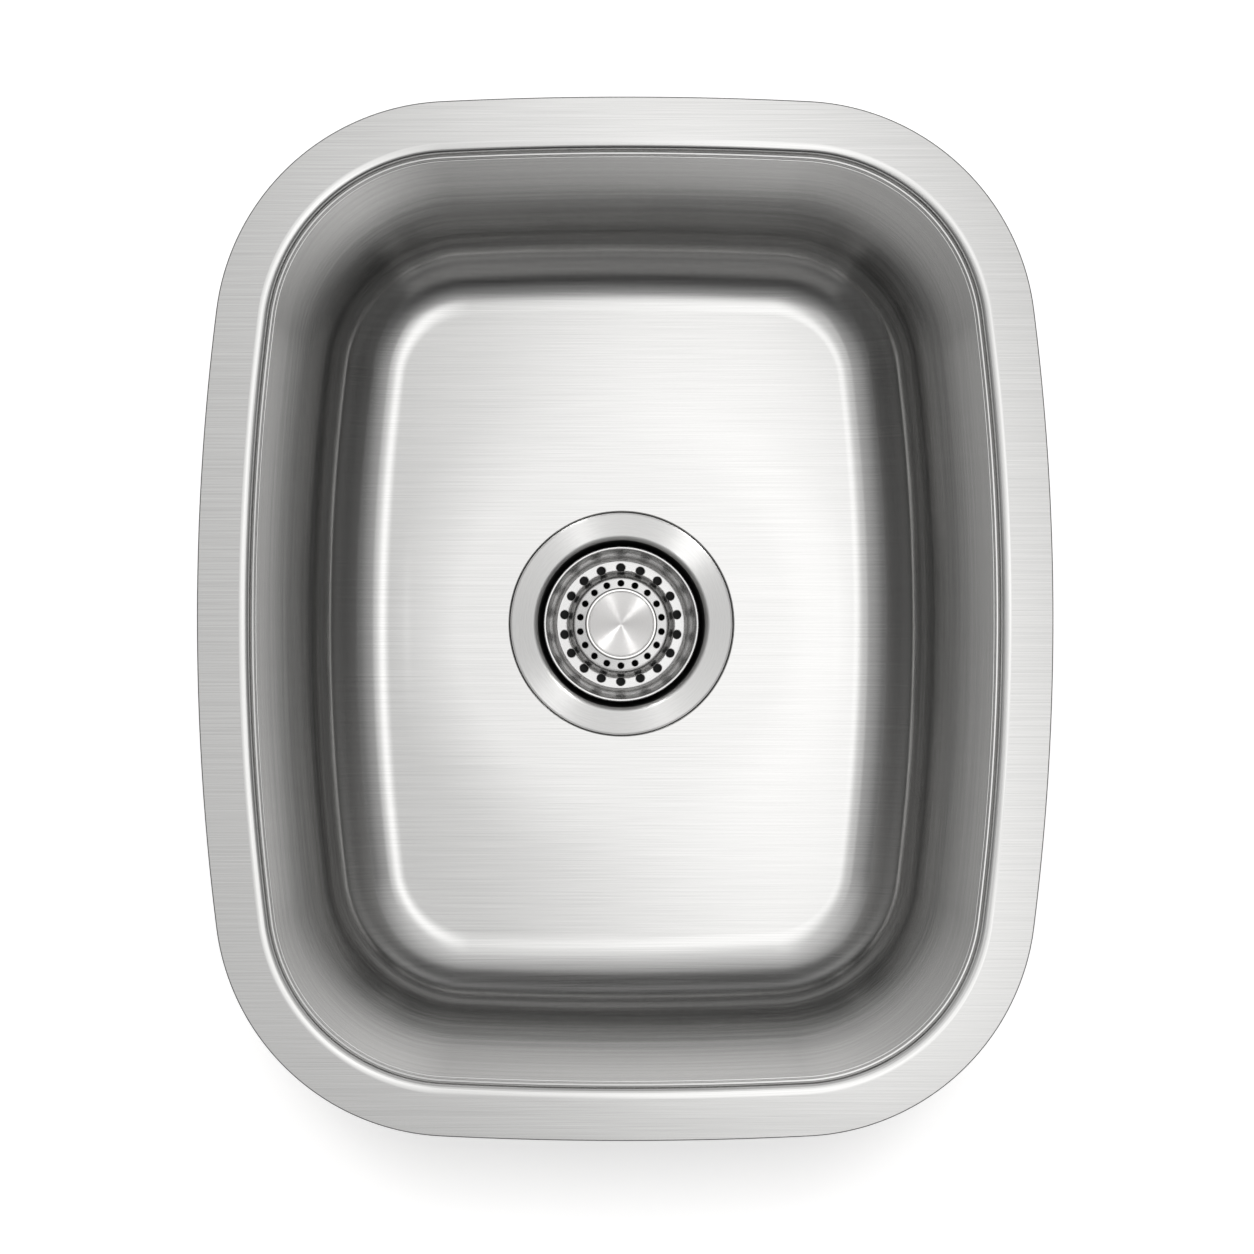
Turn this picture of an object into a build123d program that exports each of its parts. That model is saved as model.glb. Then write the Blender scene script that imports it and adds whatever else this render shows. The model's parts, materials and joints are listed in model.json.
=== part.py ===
from build123d import *
import math
import os

# Undermount kitchen sink: a pressed steel bowl with its basket strainer and tailpiece.
# All sizes are in millimetres. The origin is the middle of the flange's top face, the plane that is
# bonded to the underside of the worktop. +X is the sink's right, +Y its back and +Z up.

# ---- Bowl, pressed from one sheet ----
BOWL_WIDTH = 374.0  # over the flange, at the middle of the bowed sides
BOWL_LENGTH = 456.0  # over the flange, at the middle of the bowed ends
BOWL_DEPTH = 190.0  # flange top to the middle of the floor
SHEET = 1.2
SIDE_BOW = 1085.0  # radius of the long sides of the flange
END_BOW = 1620.0  # radius of its short ends
OUTLINE_CORNER = 104.0
MOUTH_INSET = 23.2  # flange edge to the upright face of the mouth
LIP_RADIUS = 3.0
MOUTH_DROP = 5.0  # flange top to the ledge below the mouth
LEDGE = 0.8
LAND_DROP = 9.0  # flange top to the foot of the upright land below the ledge
WALL_DRAFT = 3.0  # degrees
COVE_RADIUS = 36.0  # between walls and floor
FLOOR_MARGIN = 4.0  # width of floor that is swept with the walls
DISH_DIAMETER = 210.0  # round dish that drains the floor to the middle
DISH_FALL = 2.5
RECESS_DEPTH = 2.2  # floor to the seat that the strainer's flange lies on
RECESS_SLOPE = 22.0  # degrees from upright

# ---- Sound-deadening pads, bonded to the outside of the bowl ----
PAD_THICKNESS = 3.0
PAD_CORNER = 8.0
SIDE_PAD_LENGTH = 210.0
END_PAD_LENGTH = 150.0
WALL_PAD_HEIGHT = 78.0
WALL_PAD_DROP = 92.0  # flange top to the middle of the pad
FLOOR_PAD_WIDTH = 150.0
FLOOR_PAD_LENGTH = 62.0
FLOOR_PAD_OFFSET = 108.0  # drain axis to the middle of the pad

# ---- Strainer body, clamped into the drain hole ----
FLANGE_DIAMETER = 114.3
FLANGE_THICKNESS = 1.6
FLANGE_EDGE = 0.7  # height of its upright rim
FLANGE_CROWN = 3.2  # width of the sloped band inside the rim
FLANGE_GAP = 0.4  # round the flange in its recess
THROAT_DIAMETER = 85.2
THROAT_RADIUS = 3.6  # rolled edge between flange and throat
CUP_TAPER = 1.0  # how much the radius narrows down to the cup's floor
CUP_DEPTH = 51.5
CUP_COVE = 9.0
CUP_FALL = 1.5  # slope of the cup's floor to the outlet
CUP_WALL = 2.9
CUP_SIDE = 1.15  # wall of the cup at its top, out to the crests of the thread
DRAIN_CLEARANCE = 1.0  # radial, between the thread and the hole in the sheet
SPUD_DIAMETER = 47.2
SPUD_WALL = 3.2
SPUD_LENGTH = 20.0
SPUD_CHAMFER = 0.8
SPIDER_LEDGE = 1.6  # ledge in the spud that the crossbar stands on
THREAD_CLEARANCE = 0.1  # radial
SEAT_CLEARANCE = 0.2  # radial, round parts that drop into or over a wall

# ---- Rings that clamp the body to the sheet ----
FLANGE_SEAL_THICKNESS = 0.8
SEAL_INSET = 1.0  # how far soft rings end inside the edge that covers them
GASKET_MARGIN = 3.15  # how far the gasket ends inside the edge of the strainer's flange
GASKET_THICKNESS = 3.2
FRICTION_RING_THICKNESS = 0.8
LOCK_NUT_HEIGHT = 12.0
LOCK_NUT_WALL = 5.65
LOCK_NUT_COLLAR = 3.0  # height of the wide collar at its top
LOCK_NUT_LUGS = 8
LOCK_NUT_LUG_WIDTH = 12.0
LOCK_NUT_CHAMFER = 1.0
THREAD_WALL = 1.2  # metal left between the nut's bore and the foot of a lug

# ---- Crossbar in the outlet ----
CROSSBAR_HEIGHT = 6.0
CROSSBAR_RING = 2.2
CROSSBAR_SPOKES = 4
SPOKE_WIDTH = 3.6
SPOKE_HEIGHT = 4.0
HUB_DIAMETER = 14.0
HUB_HEIGHT = 6.0
HUB_CHAMFER = 0.9

# ---- Tailpiece and its union ----
TAILPIECE_DIAMETER = 38.1
TAILPIECE_LENGTH = 101.6
TAILPIECE_WALL = 0.9
TAILPIECE_FLANGE = 1.2
TAILPIECE_NECK = 12.0  # length of the swaged neck below the flange
TAILPIECE_SWAGE = 0.4  # how much its radius grows there
UNION_WASHER_THICKNESS = 2.0
UNION_LIP = 3.0
UNION_NUT_HEIGHT = 20.0
UNION_NUT_WALL = 3.4
UNION_CHAMFER = 1.6

# ---- Basket ----
BASKET_CLEARANCE = 2.1  # radial, between the basket's rim and the throat
BASKET_DROP = 9.0  # strainer flange to basket rim
BASKET_SHEET = 0.8
BASKET_ROLL = 1.2  # height of the turned-down rim
BASKET_RIM = 1.7  # width of the flat rim
BASKET_RIM_BEND = 0.9
SHOULDER_STEP = 2.4  # radius lost between the flat rim and the shoulder
SHOULDER_DROP = 9.0
SHOULDER_BEND = 6.0
WALL_TAPER = 2.2  # radius lost between the shoulder and the trough
TROUGH_WIDTH = 5.9
TROUGH_DROP = 31.0
TROUGH_OUTER_BEND = 0.62  # bends of the trough's outer and inner corners, as shares of its width
TROUGH_INNER_BEND = 0.45
RIDGE_STEP = 2.8  # radius lost between the trough and the ridge
RIDGE_DROP = 22.6
RIDGE_BEND = 2.6
HUB_PLATE_DROP = 21.6
HUB_PLATE_DIAMETER = 34.0  # flat middle that the knob and the sleeve clamp
OUTER_HOLES = 18
OUTER_HOLE_DIAMETER = 4.4
OUTER_HOLE_OFFSET = 1.9  # trough's inner edge to the middle of a hole
INNER_HOLES = 18
INNER_HOLE_DIAMETER = 3.1
INNER_HOLE_OFFSET = 3.8  # ridge to the middle of a hole
FIRST_HOLE = 90.0  # degrees from +X, so that a hole of each ring is at the back

# ---- Knob ----
KNOB_DIAMETER = 37.4
KNOB_NECK_DIAMETER = 14.0
KNOB_HEIGHT = 3.8  # thickness of the knob's head at its rim
KNOB_TILT = 1.6  # how much its underside falls towards the neck
KNOB_BEZEL = 1.9  # width of the polished ring round the cap's pocket
CAP_GAP = 0.3
CAP_THICKNESS = 2.4
CAP_PROUD = 0.6  # how far the cap stands above the skirt
KNOB_RISE = 0.2  # top of the skirt above the basket rim
KNOB_NECK_FILLET = 4.0
KNOB_EDGE_RADIUS = 1.2
CAP_CHAMFER = 0.3

# ---- Post and stopper ----
POST_DIAMETER = 8.0
POST_ENGAGEMENT = 12.0  # length that is screwed into the knob
RUNNING_CLEARANCE = 0.05  # radial, between the post and what it turns in
MOVING_GAP = 0.3  # along the axis, between pieces that move apart
SLEEVE_DIAMETER = 13.0
STOPPER_DIAMETER = 57.0
STOPPER_CROWN_DIAMETER = 30.0
STOPPER_THICKNESS = 4.0
STOPPER_LIP_WIDTH = 3.5
STOPPER_LIP_HEIGHT = 2.6
STOPPER_DISH = 1.4  # how much its middle stands above its lip's top, more than its thickness
STOPPER_BEND = 2.0
STOPPER_LIP_RADIUS = 0.8
STOPPER_WASHER_DIAMETER = 28.0
STOPPER_WASHER_THICKNESS = 1.0
POST_NUT_WIDTH = 13.0  # across flats
POST_NUT_HEIGHT = 3.6
TIP_BULGE = 0.6  # how far the split tip stands out beyond the post
TIP_BELOW_HUB = 0.5
TIP_LAND = 1.4
TIP_LENGTH = 7.0  # below the post
TIP_NOSE_DIAMETER = 4.0
TIP_STEM_DIAMETER = 4.4
TIP_STEM_LENGTH = 7.0  # inside the post
TIP_SLOT = 1.2
HUB_BORE_CLEARANCE = 0.1  # round the tip

# ---- Levels and radii that follow from the sizes above ----
WALL_INSET = MOUTH_INSET + LEDGE
FLOOR_LEVEL = DISH_FALL - BOWL_DEPTH
FOOT_INSET = WALL_INSET - FLOOR_LEVEL * math.tan(math.radians(WALL_DRAFT))
CORE_INSET = FOOT_INSET + COVE_RADIUS + FLOOR_MARGIN
SEAT_LEVEL = -BOWL_DEPTH - RECESS_DEPTH
BODY_LEVEL = SEAT_LEVEL + FLANGE_SEAL_THICKNESS + FLANGE_THICKNESS
FLANGE_UNDERSIDE = BODY_LEVEL - FLANGE_THICKNESS
GASKET_TOP = SEAT_LEVEL - SHEET
FRICTION_RING_TOP = GASKET_TOP - GASKET_THICKNESS
LOCK_NUT_TOP = FRICTION_RING_TOP - FRICTION_RING_THICKNESS
OUTLET_LEVEL = BODY_LEVEL - CUP_DEPTH - CUP_FALL
SPUD_TOP = OUTLET_LEVEL - CUP_WALL
SPUD_END = SPUD_TOP - SPUD_LENGTH
CROSSBAR_FOOT = OUTLET_LEVEL - CROSSBAR_HEIGHT
HUB_TOP = CROSSBAR_FOOT + SPOKE_HEIGHT
UNION_WASHER_END = SPUD_END - UNION_WASHER_THICKNESS
TAILPIECE_END = UNION_WASHER_END - TAILPIECE_LENGTH
UNION_NUT_FOOT = UNION_WASHER_END - TAILPIECE_FLANGE - UNION_LIP
BASKET_LEVEL = BODY_LEVEL - BASKET_DROP
SKIRT_TOP = BASKET_LEVEL + KNOB_RISE
HUB_PLATE_TOP = BASKET_LEVEL - HUB_PLATE_DROP
POST_TOP = HUB_PLATE_TOP + POST_ENGAGEMENT
POST_END = HUB_TOP - HUB_HEIGHT - TIP_BELOW_HUB
STOPPER_FOOT = OUTLET_LEVEL + CUP_FALL / 2 + MOVING_GAP
STOPPER_TOP = STOPPER_FOOT + STOPPER_LIP_HEIGHT + STOPPER_THICKNESS + STOPPER_DISH
STOPPER_WASHER_TOP = STOPPER_TOP + STOPPER_WASHER_THICKNESS
POST_NUT_TOP = STOPPER_TOP - STOPPER_THICKNESS - MOVING_GAP

FLANGE_RADIUS = FLANGE_DIAMETER / 2
BODY_RADIUS = THROAT_DIAMETER / 2 + CUP_SIDE
DRAIN_HOLE_RADIUS = BODY_RADIUS + DRAIN_CLEARANCE
GASKET_RADIUS = FLANGE_RADIUS - GASKET_MARGIN
SPUD_RADIUS = SPUD_DIAMETER / 2
OUTLET_RADIUS = SPUD_RADIUS - SPUD_WALL
SPIDER_SEAT_RADIUS = OUTLET_RADIUS + SPIDER_LEDGE
TAILPIECE_RADIUS = TAILPIECE_DIAMETER / 2
POST_RADIUS = POST_DIAMETER / 2
SLIDING_BORE = POST_RADIUS + RUNNING_CLEARANCE
TIP_RADIUS = POST_RADIUS + TIP_BULGE
HUB_BORE = TIP_RADIUS + HUB_BORE_CLEARANCE
BASKET_RADIUS = THROAT_DIAMETER / 2 - BASKET_CLEARANCE
SHOULDER_RADIUS = BASKET_RADIUS - BASKET_RIM - SHOULDER_STEP
TROUGH_OUTER_RADIUS = SHOULDER_RADIUS - WALL_TAPER
TROUGH_INNER_RADIUS = TROUGH_OUTER_RADIUS - TROUGH_WIDTH
RIDGE_RADIUS = TROUGH_INNER_RADIUS - RIDGE_STEP
KNOB_POCKET_RADIUS = KNOB_DIAMETER / 2 - KNOB_BEZEL


def closed_section(corners):
    """Face whose corners are given in turn as (across, up, fillet)."""
    points = [(across, up) for across, up, fillet_radius in corners]
    fillets = [fillet_radius for across, up, fillet_radius in corners]
    return make_face(FilletPolyline(*points, radius=fillets, close=True))


def turned(*corners):
    """Solid turned about the Z axis. Each corner of its half section is (radius, height, fillet)."""
    return revolve(Plane.XZ * closed_section(corners), Axis.Z)


def ring(inner_radius, outer_radius, top, height):
    """Flat ring about the Z axis, or a disc where the inner radius is 0, with its top at a level."""
    body = Cylinder(outer_radius, height)
    if inner_radius > 0:
        body -= Cylinder(inner_radius, height)
    return Pos(0, 0, top - height / 2) * body


def outline(grow):
    """Bowed rectangle with round corners: the flange's edge, moved outwards by grow all round."""
    side = SIDE_BOW + grow
    end = END_BOW + grow
    side_centre = SIDE_BOW - BOWL_WIDTH / 2
    end_centre = END_BOW - BOWL_LENGTH / 2
    face = Pos(side_centre, 0) * Circle(side) & Pos(-side_centre, 0) * Circle(side)
    face = face & Pos(0, end_centre) * Circle(end) & Pos(0, -end_centre) * Circle(end)
    return fillet(face.vertices(), OUTLINE_CORNER + grow)


def wall_inset(drop):
    """Inset of the drafted wall from the flange's edge, at a drop below the flange."""
    return WALL_INSET + drop * math.tan(math.radians(WALL_DRAFT))


def rim_corners(grow):
    """Flange, rounded lip, ledge and land in section, as (inset, level, fillet)."""
    return [
        (0, -grow, 0),
        (MOUTH_INSET - grow, -grow, LIP_RADIUS - grow),
        (MOUTH_INSET - grow, -MOUTH_DROP - grow, 0),
        (WALL_INSET - grow, -MOUTH_DROP - grow, 0),
        (WALL_INSET - grow, -LAND_DROP - grow, 0),
    ]


def wall_corners(grow):
    """Drafted wall, cove and edge of the floor in section, as (inset, level, fillet)."""
    return [
        (wall_inset(LAND_DROP) - grow, -LAND_DROP - grow, 0),
        (wall_inset(-FLOOR_LEVEL) - grow, FLOOR_LEVEL - grow, COVE_RADIUS + grow),
        (CORE_INSET, FLOOR_LEVEL - grow, 0),
    ]


def swept_round(corners):
    """Closed section swept once round the flange's edge. Insets run inwards from the edge."""
    path = outline(0).faces()[0].outer_wire()
    start = path @ 0
    along = path % 0
    inwards = Vector(0, 0, 1).cross(along)
    if inwards.dot(start) > 0:
        inwards = -inwards
    plane = Plane(origin=start, x_dir=inwards, z_dir=inwards.cross(Vector(0, 0, 1)))
    return sweep(plane * closed_section(corners), path=path)


def floor_plate(top, bottom):
    """Flat middle of the floor, inside what is swept with the walls."""
    return Pos(0, 0, bottom) * extrude(outline(-CORE_INSET), amount=top - bottom)


def floor_dish(grow):
    """Shallow round dish in the floor, between the floor's level and a large sphere."""
    rim = DISH_DIAMETER / 2
    radius = (rim**2 + DISH_FALL**2) / (2 * DISH_FALL)
    height = 3 * (DISH_FALL + grow)
    slab = Pos(0, 0, FLOOR_LEVEL - height / 2) * Cylinder(rim + grow, height)
    # The sphere's poles lie along Y, away from the floor.
    ball = Rot(90, 0, 0) * Sphere(radius + grow)
    return slab & Pos(0, 0, radius - BOWL_DEPTH) * ball


def drain_recess(grow):
    """Round recess that lets the strainer's flange lie level with the floor."""
    rise = RECESS_DEPTH + DISH_FALL / 2
    slope = math.radians(RECESS_SLOPE)
    # This keeps the sheet as thick on the slope as on the seat.
    foot_radius = FLANGE_RADIUS + FLANGE_GAP + grow * (1 - math.sin(slope)) / math.cos(slope)
    head_radius = foot_radius + rise * math.tan(slope)
    plug = Cone(foot_radius, head_radius, rise)
    return Pos(0, 0, SEAT_LEVEL - grow + rise / 2) * plug


def sink_bowl():
    """Flange, mouth, walls, cove, dished floor and drain recess in one sheet of even thickness."""
    inside = rim_corners(0) + wall_corners(0)
    outside = rim_corners(SHEET) + wall_corners(SHEET)
    bowl = swept_round(inside + outside[::-1])
    bowl += floor_plate(FLOOR_LEVEL, FLOOR_LEVEL - SHEET)
    bowl += floor_dish(SHEET) + drain_recess(SHEET)
    bowl -= floor_dish(0) + drain_recess(0)
    drill_length = 2 * (RECESS_DEPTH + SHEET)
    return bowl - Pos(0, 0, SEAT_LEVEL) * Cylinder(DRAIN_HOLE_RADIUS, drill_length)


def sound_pads():
    """Pads that follow the outside of the walls and of the floor, front and rear of the drain."""
    outside = SHEET + PAD_THICKNESS
    layer = swept_round(wall_corners(SHEET) + wall_corners(outside)[::-1])
    layer += floor_plate(FLOOR_LEVEL - SHEET, FLOOR_LEVEL - outside)
    layer -= floor_dish(SHEET)
    reach = BOWL_LENGTH
    side = RectangleRounded(SIDE_PAD_LENGTH, WALL_PAD_HEIGHT, PAD_CORNER)
    end = RectangleRounded(END_PAD_LENGTH, WALL_PAD_HEIGHT, PAD_CORNER)
    floor = RectangleRounded(FLOOR_PAD_WIDTH, FLOOR_PAD_LENGTH, PAD_CORNER)
    level = Pos(0, 0, -WALL_PAD_DROP)
    cutters = {
        "sound_pad_right": level * extrude(Plane.YZ * side, amount=reach),
        "sound_pad_left": level * extrude(Plane.YZ * side, amount=-reach),
        "sound_pad_front": level * extrude(Plane.XZ * end, amount=reach),
        "sound_pad_rear": level * extrude(Plane.XZ * end, amount=-reach),
        "sound_pad_floor_front": extrude(Pos(0, -FLOOR_PAD_OFFSET) * floor, amount=-reach),
        "sound_pad_floor_rear": extrude(Pos(0, FLOOR_PAD_OFFSET) * floor, amount=-reach),
    }
    return {name: layer & cutter for name, cutter in cutters.items()}


def strainer_body():
    """Flanged cup with a threaded outside and the threaded outlet spud below it."""
    throat = THROAT_DIAMETER / 2
    cup_foot = throat - CUP_TAPER
    cup_floor = BODY_LEVEL - CUP_DEPTH
    outer_cove = CUP_COVE + BODY_RADIUS - cup_foot
    return turned(
        (throat, BODY_LEVEL, THROAT_RADIUS),
        (cup_foot, cup_floor, CUP_COVE),
        (SPIDER_SEAT_RADIUS, OUTLET_LEVEL, 0),
        (SPIDER_SEAT_RADIUS, CROSSBAR_FOOT, 0),
        (OUTLET_RADIUS, CROSSBAR_FOOT, 0),
        (OUTLET_RADIUS, SPUD_END, 0),
        (SPUD_RADIUS - SPUD_CHAMFER, SPUD_END, 0),
        (SPUD_RADIUS, SPUD_END + SPUD_CHAMFER, 0),
        (SPUD_RADIUS, SPUD_TOP, 0),
        (BODY_RADIUS, cup_floor - CUP_WALL, outer_cove),
        (BODY_RADIUS, FLANGE_UNDERSIDE, 0),
        (FLANGE_RADIUS, FLANGE_UNDERSIDE, 0),
        (FLANGE_RADIUS, FLANGE_UNDERSIDE + FLANGE_EDGE, 0),
        (FLANGE_RADIUS - FLANGE_CROWN, BODY_LEVEL, 0),
    )


def flange_seal():
    """Putty ring, squeezed flat between the strainer's flange and its seat in the bowl."""
    inner = DRAIN_HOLE_RADIUS + FLANGE_GAP
    outer = FLANGE_RADIUS - SEAL_INSET
    return ring(inner, outer, FLANGE_UNDERSIDE, FLANGE_SEAL_THICKNESS)


def sealing_gasket():
    """Thick rubber ring under the bowl."""
    return ring(BODY_RADIUS + SEAT_CLEARANCE, GASKET_RADIUS, GASKET_TOP, GASKET_THICKNESS)


def friction_ring():
    """Card ring that lets the lock nut turn on the rubber."""
    inner = BODY_RADIUS + SEAT_CLEARANCE
    outer = GASKET_RADIUS - SEAL_INSET
    return ring(inner, outer, FRICTION_RING_TOP, FRICTION_RING_THICKNESS)


def lock_nut():
    """Ring nut with a wide collar at its top and lugs for the wrench round its side."""
    bore = BODY_RADIUS + THREAD_CLEARANCE
    barrel = bore + LOCK_NUT_WALL
    collar = GASKET_RADIUS
    foot = LOCK_NUT_TOP - LOCK_NUT_HEIGHT
    collar_foot = LOCK_NUT_TOP - LOCK_NUT_COLLAR
    nut = turned(
        (bore, LOCK_NUT_TOP, 0),
        (bore, foot + LOCK_NUT_CHAMFER, 0),
        (bore + LOCK_NUT_CHAMFER, foot, 0),
        (barrel - LOCK_NUT_CHAMFER, foot, 0),
        (barrel, foot + LOCK_NUT_CHAMFER, 0),
        (barrel, collar_foot, 0),
        (collar, collar_foot, 0),
        (collar, LOCK_NUT_TOP, 0),
    )
    lug_height = LOCK_NUT_HEIGHT - LOCK_NUT_COLLAR
    inner = bore + THREAD_WALL
    lug_length = collar - inner
    lug = Box(lug_length, LOCK_NUT_LUG_WIDTH, lug_height)
    lug = chamfer(lug.edges().filter_by(Axis.Z), LOCK_NUT_CHAMFER)
    lug = Pos(inner + lug_length / 2, 0, foot + lug_height / 2) * lug
    return nut + PolarLocations(0, LOCK_NUT_LUGS) * lug


def outlet_crossbar():
    """Ring, spokes and hub that stand in the outlet and catch the basket's post."""
    ring_radius = SPIDER_SEAT_RADIUS - SEAT_CLEARANCE
    inner_radius = ring_radius - CROSSBAR_RING
    rim = ring(inner_radius, ring_radius, OUTLET_LEVEL, CROSSBAR_HEIGHT)
    hub_radius = HUB_DIAMETER / 2
    hub = turned(
        (HUB_BORE, HUB_TOP - HUB_HEIGHT, 0),
        (hub_radius - HUB_CHAMFER, HUB_TOP - HUB_HEIGHT, 0),
        (hub_radius, HUB_TOP - HUB_HEIGHT + HUB_CHAMFER, 0),
        (hub_radius, HUB_TOP, 0),
        (HUB_BORE + HUB_CHAMFER, HUB_TOP, 0),
        (HUB_BORE, HUB_TOP - HUB_CHAMFER, 0),
    )
    length = inner_radius - hub_radius + CROSSBAR_RING
    spoke = Box(length, SPOKE_WIDTH, SPOKE_HEIGHT)
    spoke = fillet(spoke.edges().filter_by(Axis.X).group_by(Axis.Z)[-1], SPOKE_WIDTH / 4)
    middle = (inner_radius + hub_radius) / 2
    spoke = Pos(middle, 0, CROSSBAR_FOOT + SPOKE_HEIGHT / 2) * spoke
    return rim + hub + PolarLocations(0, CROSSBAR_SPOKES) * spoke


def tailpiece_washer():
    """Flat washer between the spud and the tailpiece's flange."""
    return ring(
        TAILPIECE_RADIUS, SPUD_RADIUS - THREAD_CLEARANCE, SPUD_END, UNION_WASHER_THICKNESS
    )


def tailpiece():
    """Straight tube with a flange at its top, whose lower end goes into the waste pipe."""
    bore = TAILPIECE_RADIUS - TAILPIECE_WALL
    neck = TAILPIECE_RADIUS + TAILPIECE_SWAGE
    neck_foot = UNION_WASHER_END - TAILPIECE_NECK
    return turned(
        (bore, UNION_WASHER_END, 0),
        (bore, TAILPIECE_END, 0),
        (TAILPIECE_RADIUS, TAILPIECE_END, 0),
        (TAILPIECE_RADIUS, neck_foot - 2 * TAILPIECE_SWAGE, 0),
        (neck, neck_foot, 0),
        (neck, UNION_WASHER_END - TAILPIECE_FLANGE, 0),
        (SPUD_RADIUS - TAILPIECE_SWAGE, UNION_WASHER_END - TAILPIECE_FLANGE, 0),
        (SPUD_RADIUS - TAILPIECE_SWAGE, UNION_WASHER_END, 0),
    )


def tailpiece_nut():
    """Hexagonal union nut that pulls the tailpiece's flange up against the spud."""
    top = UNION_NUT_FOOT + UNION_NUT_HEIGHT
    thread = SPUD_RADIUS + THREAD_CLEARANCE
    lip = TAILPIECE_RADIUS + TAILPIECE_SWAGE + SEAT_CLEARANCE
    flats = thread + UNION_NUT_WALL
    corners = flats / math.cos(math.pi / 6)
    envelope = turned(
        (lip, UNION_NUT_FOOT, 0),
        (corners - UNION_CHAMFER, UNION_NUT_FOOT, 0),
        (corners, UNION_NUT_FOOT + UNION_CHAMFER, 0),
        (corners, top - UNION_CHAMFER, 0),
        (corners - UNION_CHAMFER, top, 0),
        (thread, top, 0),
        (thread, UNION_NUT_FOOT + UNION_LIP, 0),
        (lip, UNION_NUT_FOOT + UNION_LIP, 0),
    )
    prism = extrude(RegularPolygon(flats, 6, major_radius=False), amount=UNION_NUT_HEIGHT)
    return envelope & Pos(0, 0, UNION_NUT_FOOT) * prism


def basket_shell():
    """Pressed basket: rolled rim, stepped wall, round trough, raised middle and two rings of holes."""
    hub_hole = POST_RADIUS + SEAT_CLEARANCE
    section = FilletPolyline(
        (BASKET_RADIUS, BASKET_LEVEL - BASKET_ROLL),
        (BASKET_RADIUS, BASKET_LEVEL),
        (BASKET_RADIUS - BASKET_RIM, BASKET_LEVEL),
        (SHOULDER_RADIUS, BASKET_LEVEL - SHOULDER_DROP),
        (TROUGH_OUTER_RADIUS, BASKET_LEVEL - TROUGH_DROP),
        (TROUGH_INNER_RADIUS, BASKET_LEVEL - TROUGH_DROP),
        (RIDGE_RADIUS, BASKET_LEVEL - RIDGE_DROP),
        (HUB_PLATE_DIAMETER / 2, HUB_PLATE_TOP),
        (hub_hole, HUB_PLATE_TOP),
        radius=[
            BASKET_RIM_BEND,
            0,
            SHOULDER_BEND,
            TROUGH_OUTER_BEND * TROUGH_WIDTH,
            TROUGH_INNER_BEND * TROUGH_WIDTH,
            RIDGE_BEND,
            0,
        ],
    )
    # The line is the upper surface, and the sheet lies below it.
    sheet = offset(section, amount=BASKET_SHEET, side=Side.RIGHT, kind=Kind.INTERSECTION)
    shell = revolve(Plane.XZ * make_face(sheet), Axis.Z)
    depth = TROUGH_DROP + BASKET_SHEET
    outer = Cylinder(OUTER_HOLE_DIAMETER / 2, depth)
    inner = Cylinder(INNER_HOLE_DIAMETER / 2, depth)
    middle = Pos(0, 0, BASKET_LEVEL - TROUGH_DROP)
    outer_circle = TROUGH_INNER_RADIUS + OUTER_HOLE_OFFSET
    inner_circle = RIDGE_RADIUS - INNER_HOLE_OFFSET
    shell -= middle * PolarLocations(outer_circle, OUTER_HOLES, FIRST_HOLE) * outer
    shell -= middle * PolarLocations(inner_circle, INNER_HOLES, FIRST_HOLE) * inner
    return shell


def knob_skirt():
    """Polished body of the knob: a dished head on a neck that is bored for the post."""
    head = KNOB_DIAMETER / 2
    neck = KNOB_NECK_DIAMETER / 2
    pocket_floor = SKIRT_TOP + CAP_PROUD - CAP_THICKNESS
    return turned(
        (0, POST_TOP, 0),
        (POST_RADIUS + THREAD_CLEARANCE, POST_TOP, 0),
        (POST_RADIUS + THREAD_CLEARANCE, HUB_PLATE_TOP, 0),
        (neck, HUB_PLATE_TOP, 0),
        (neck, SKIRT_TOP - KNOB_HEIGHT - KNOB_TILT, KNOB_NECK_FILLET),
        (head, SKIRT_TOP - KNOB_HEIGHT, KNOB_EDGE_RADIUS),
        (head, SKIRT_TOP, KNOB_EDGE_RADIUS),
        (KNOB_POCKET_RADIUS, SKIRT_TOP, 0),
        (KNOB_POCKET_RADIUS, pocket_floor, 0),
        (0, pocket_floor, 0),
    )


def knob_cap():
    """Brushed disc let into the top of the knob."""
    top = SKIRT_TOP + CAP_PROUD
    radius = KNOB_POCKET_RADIUS - CAP_GAP
    return turned(
        (0, top - CAP_THICKNESS, 0),
        (radius, top - CAP_THICKNESS, 0),
        (radius, top - CAP_CHAMFER, 0),
        (radius - CAP_CHAMFER, top, 0),
        (0, top, 0),
    )


def basket_sleeve():
    """Tube on the post that holds the basket's middle above the stopper."""
    top = HUB_PLATE_TOP - BASKET_SHEET
    foot = STOPPER_WASHER_TOP + MOVING_GAP
    return ring(POST_RADIUS + THREAD_CLEARANCE, SLEEVE_DIAMETER / 2, top, top - foot)


def stopper_washer():
    """Steel washer that backs the rubber stopper."""
    return ring(
        SLIDING_BORE, STOPPER_WASHER_DIAMETER / 2, STOPPER_WASHER_TOP, STOPPER_WASHER_THICKNESS
    )


def stopper_seal():
    """Rubber stopper, whose lip closes the outlet when the basket is down."""
    crown = STOPPER_CROWN_DIAMETER / 2
    rim = STOPPER_DIAMETER / 2
    lip = rim - STOPPER_LIP_WIDTH
    shelf = STOPPER_TOP - STOPPER_THICKNESS
    return turned(
        (SLIDING_BORE, STOPPER_TOP, 0),
        (SLIDING_BORE, shelf, 0),
        (crown, shelf, STOPPER_BEND),
        (lip, STOPPER_FOOT, STOPPER_LIP_RADIUS),
        (rim, STOPPER_FOOT, STOPPER_LIP_RADIUS),
        (rim, STOPPER_FOOT + STOPPER_LIP_HEIGHT, STOPPER_BEND),
        (crown, STOPPER_TOP, STOPPER_BEND),
    )


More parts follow.
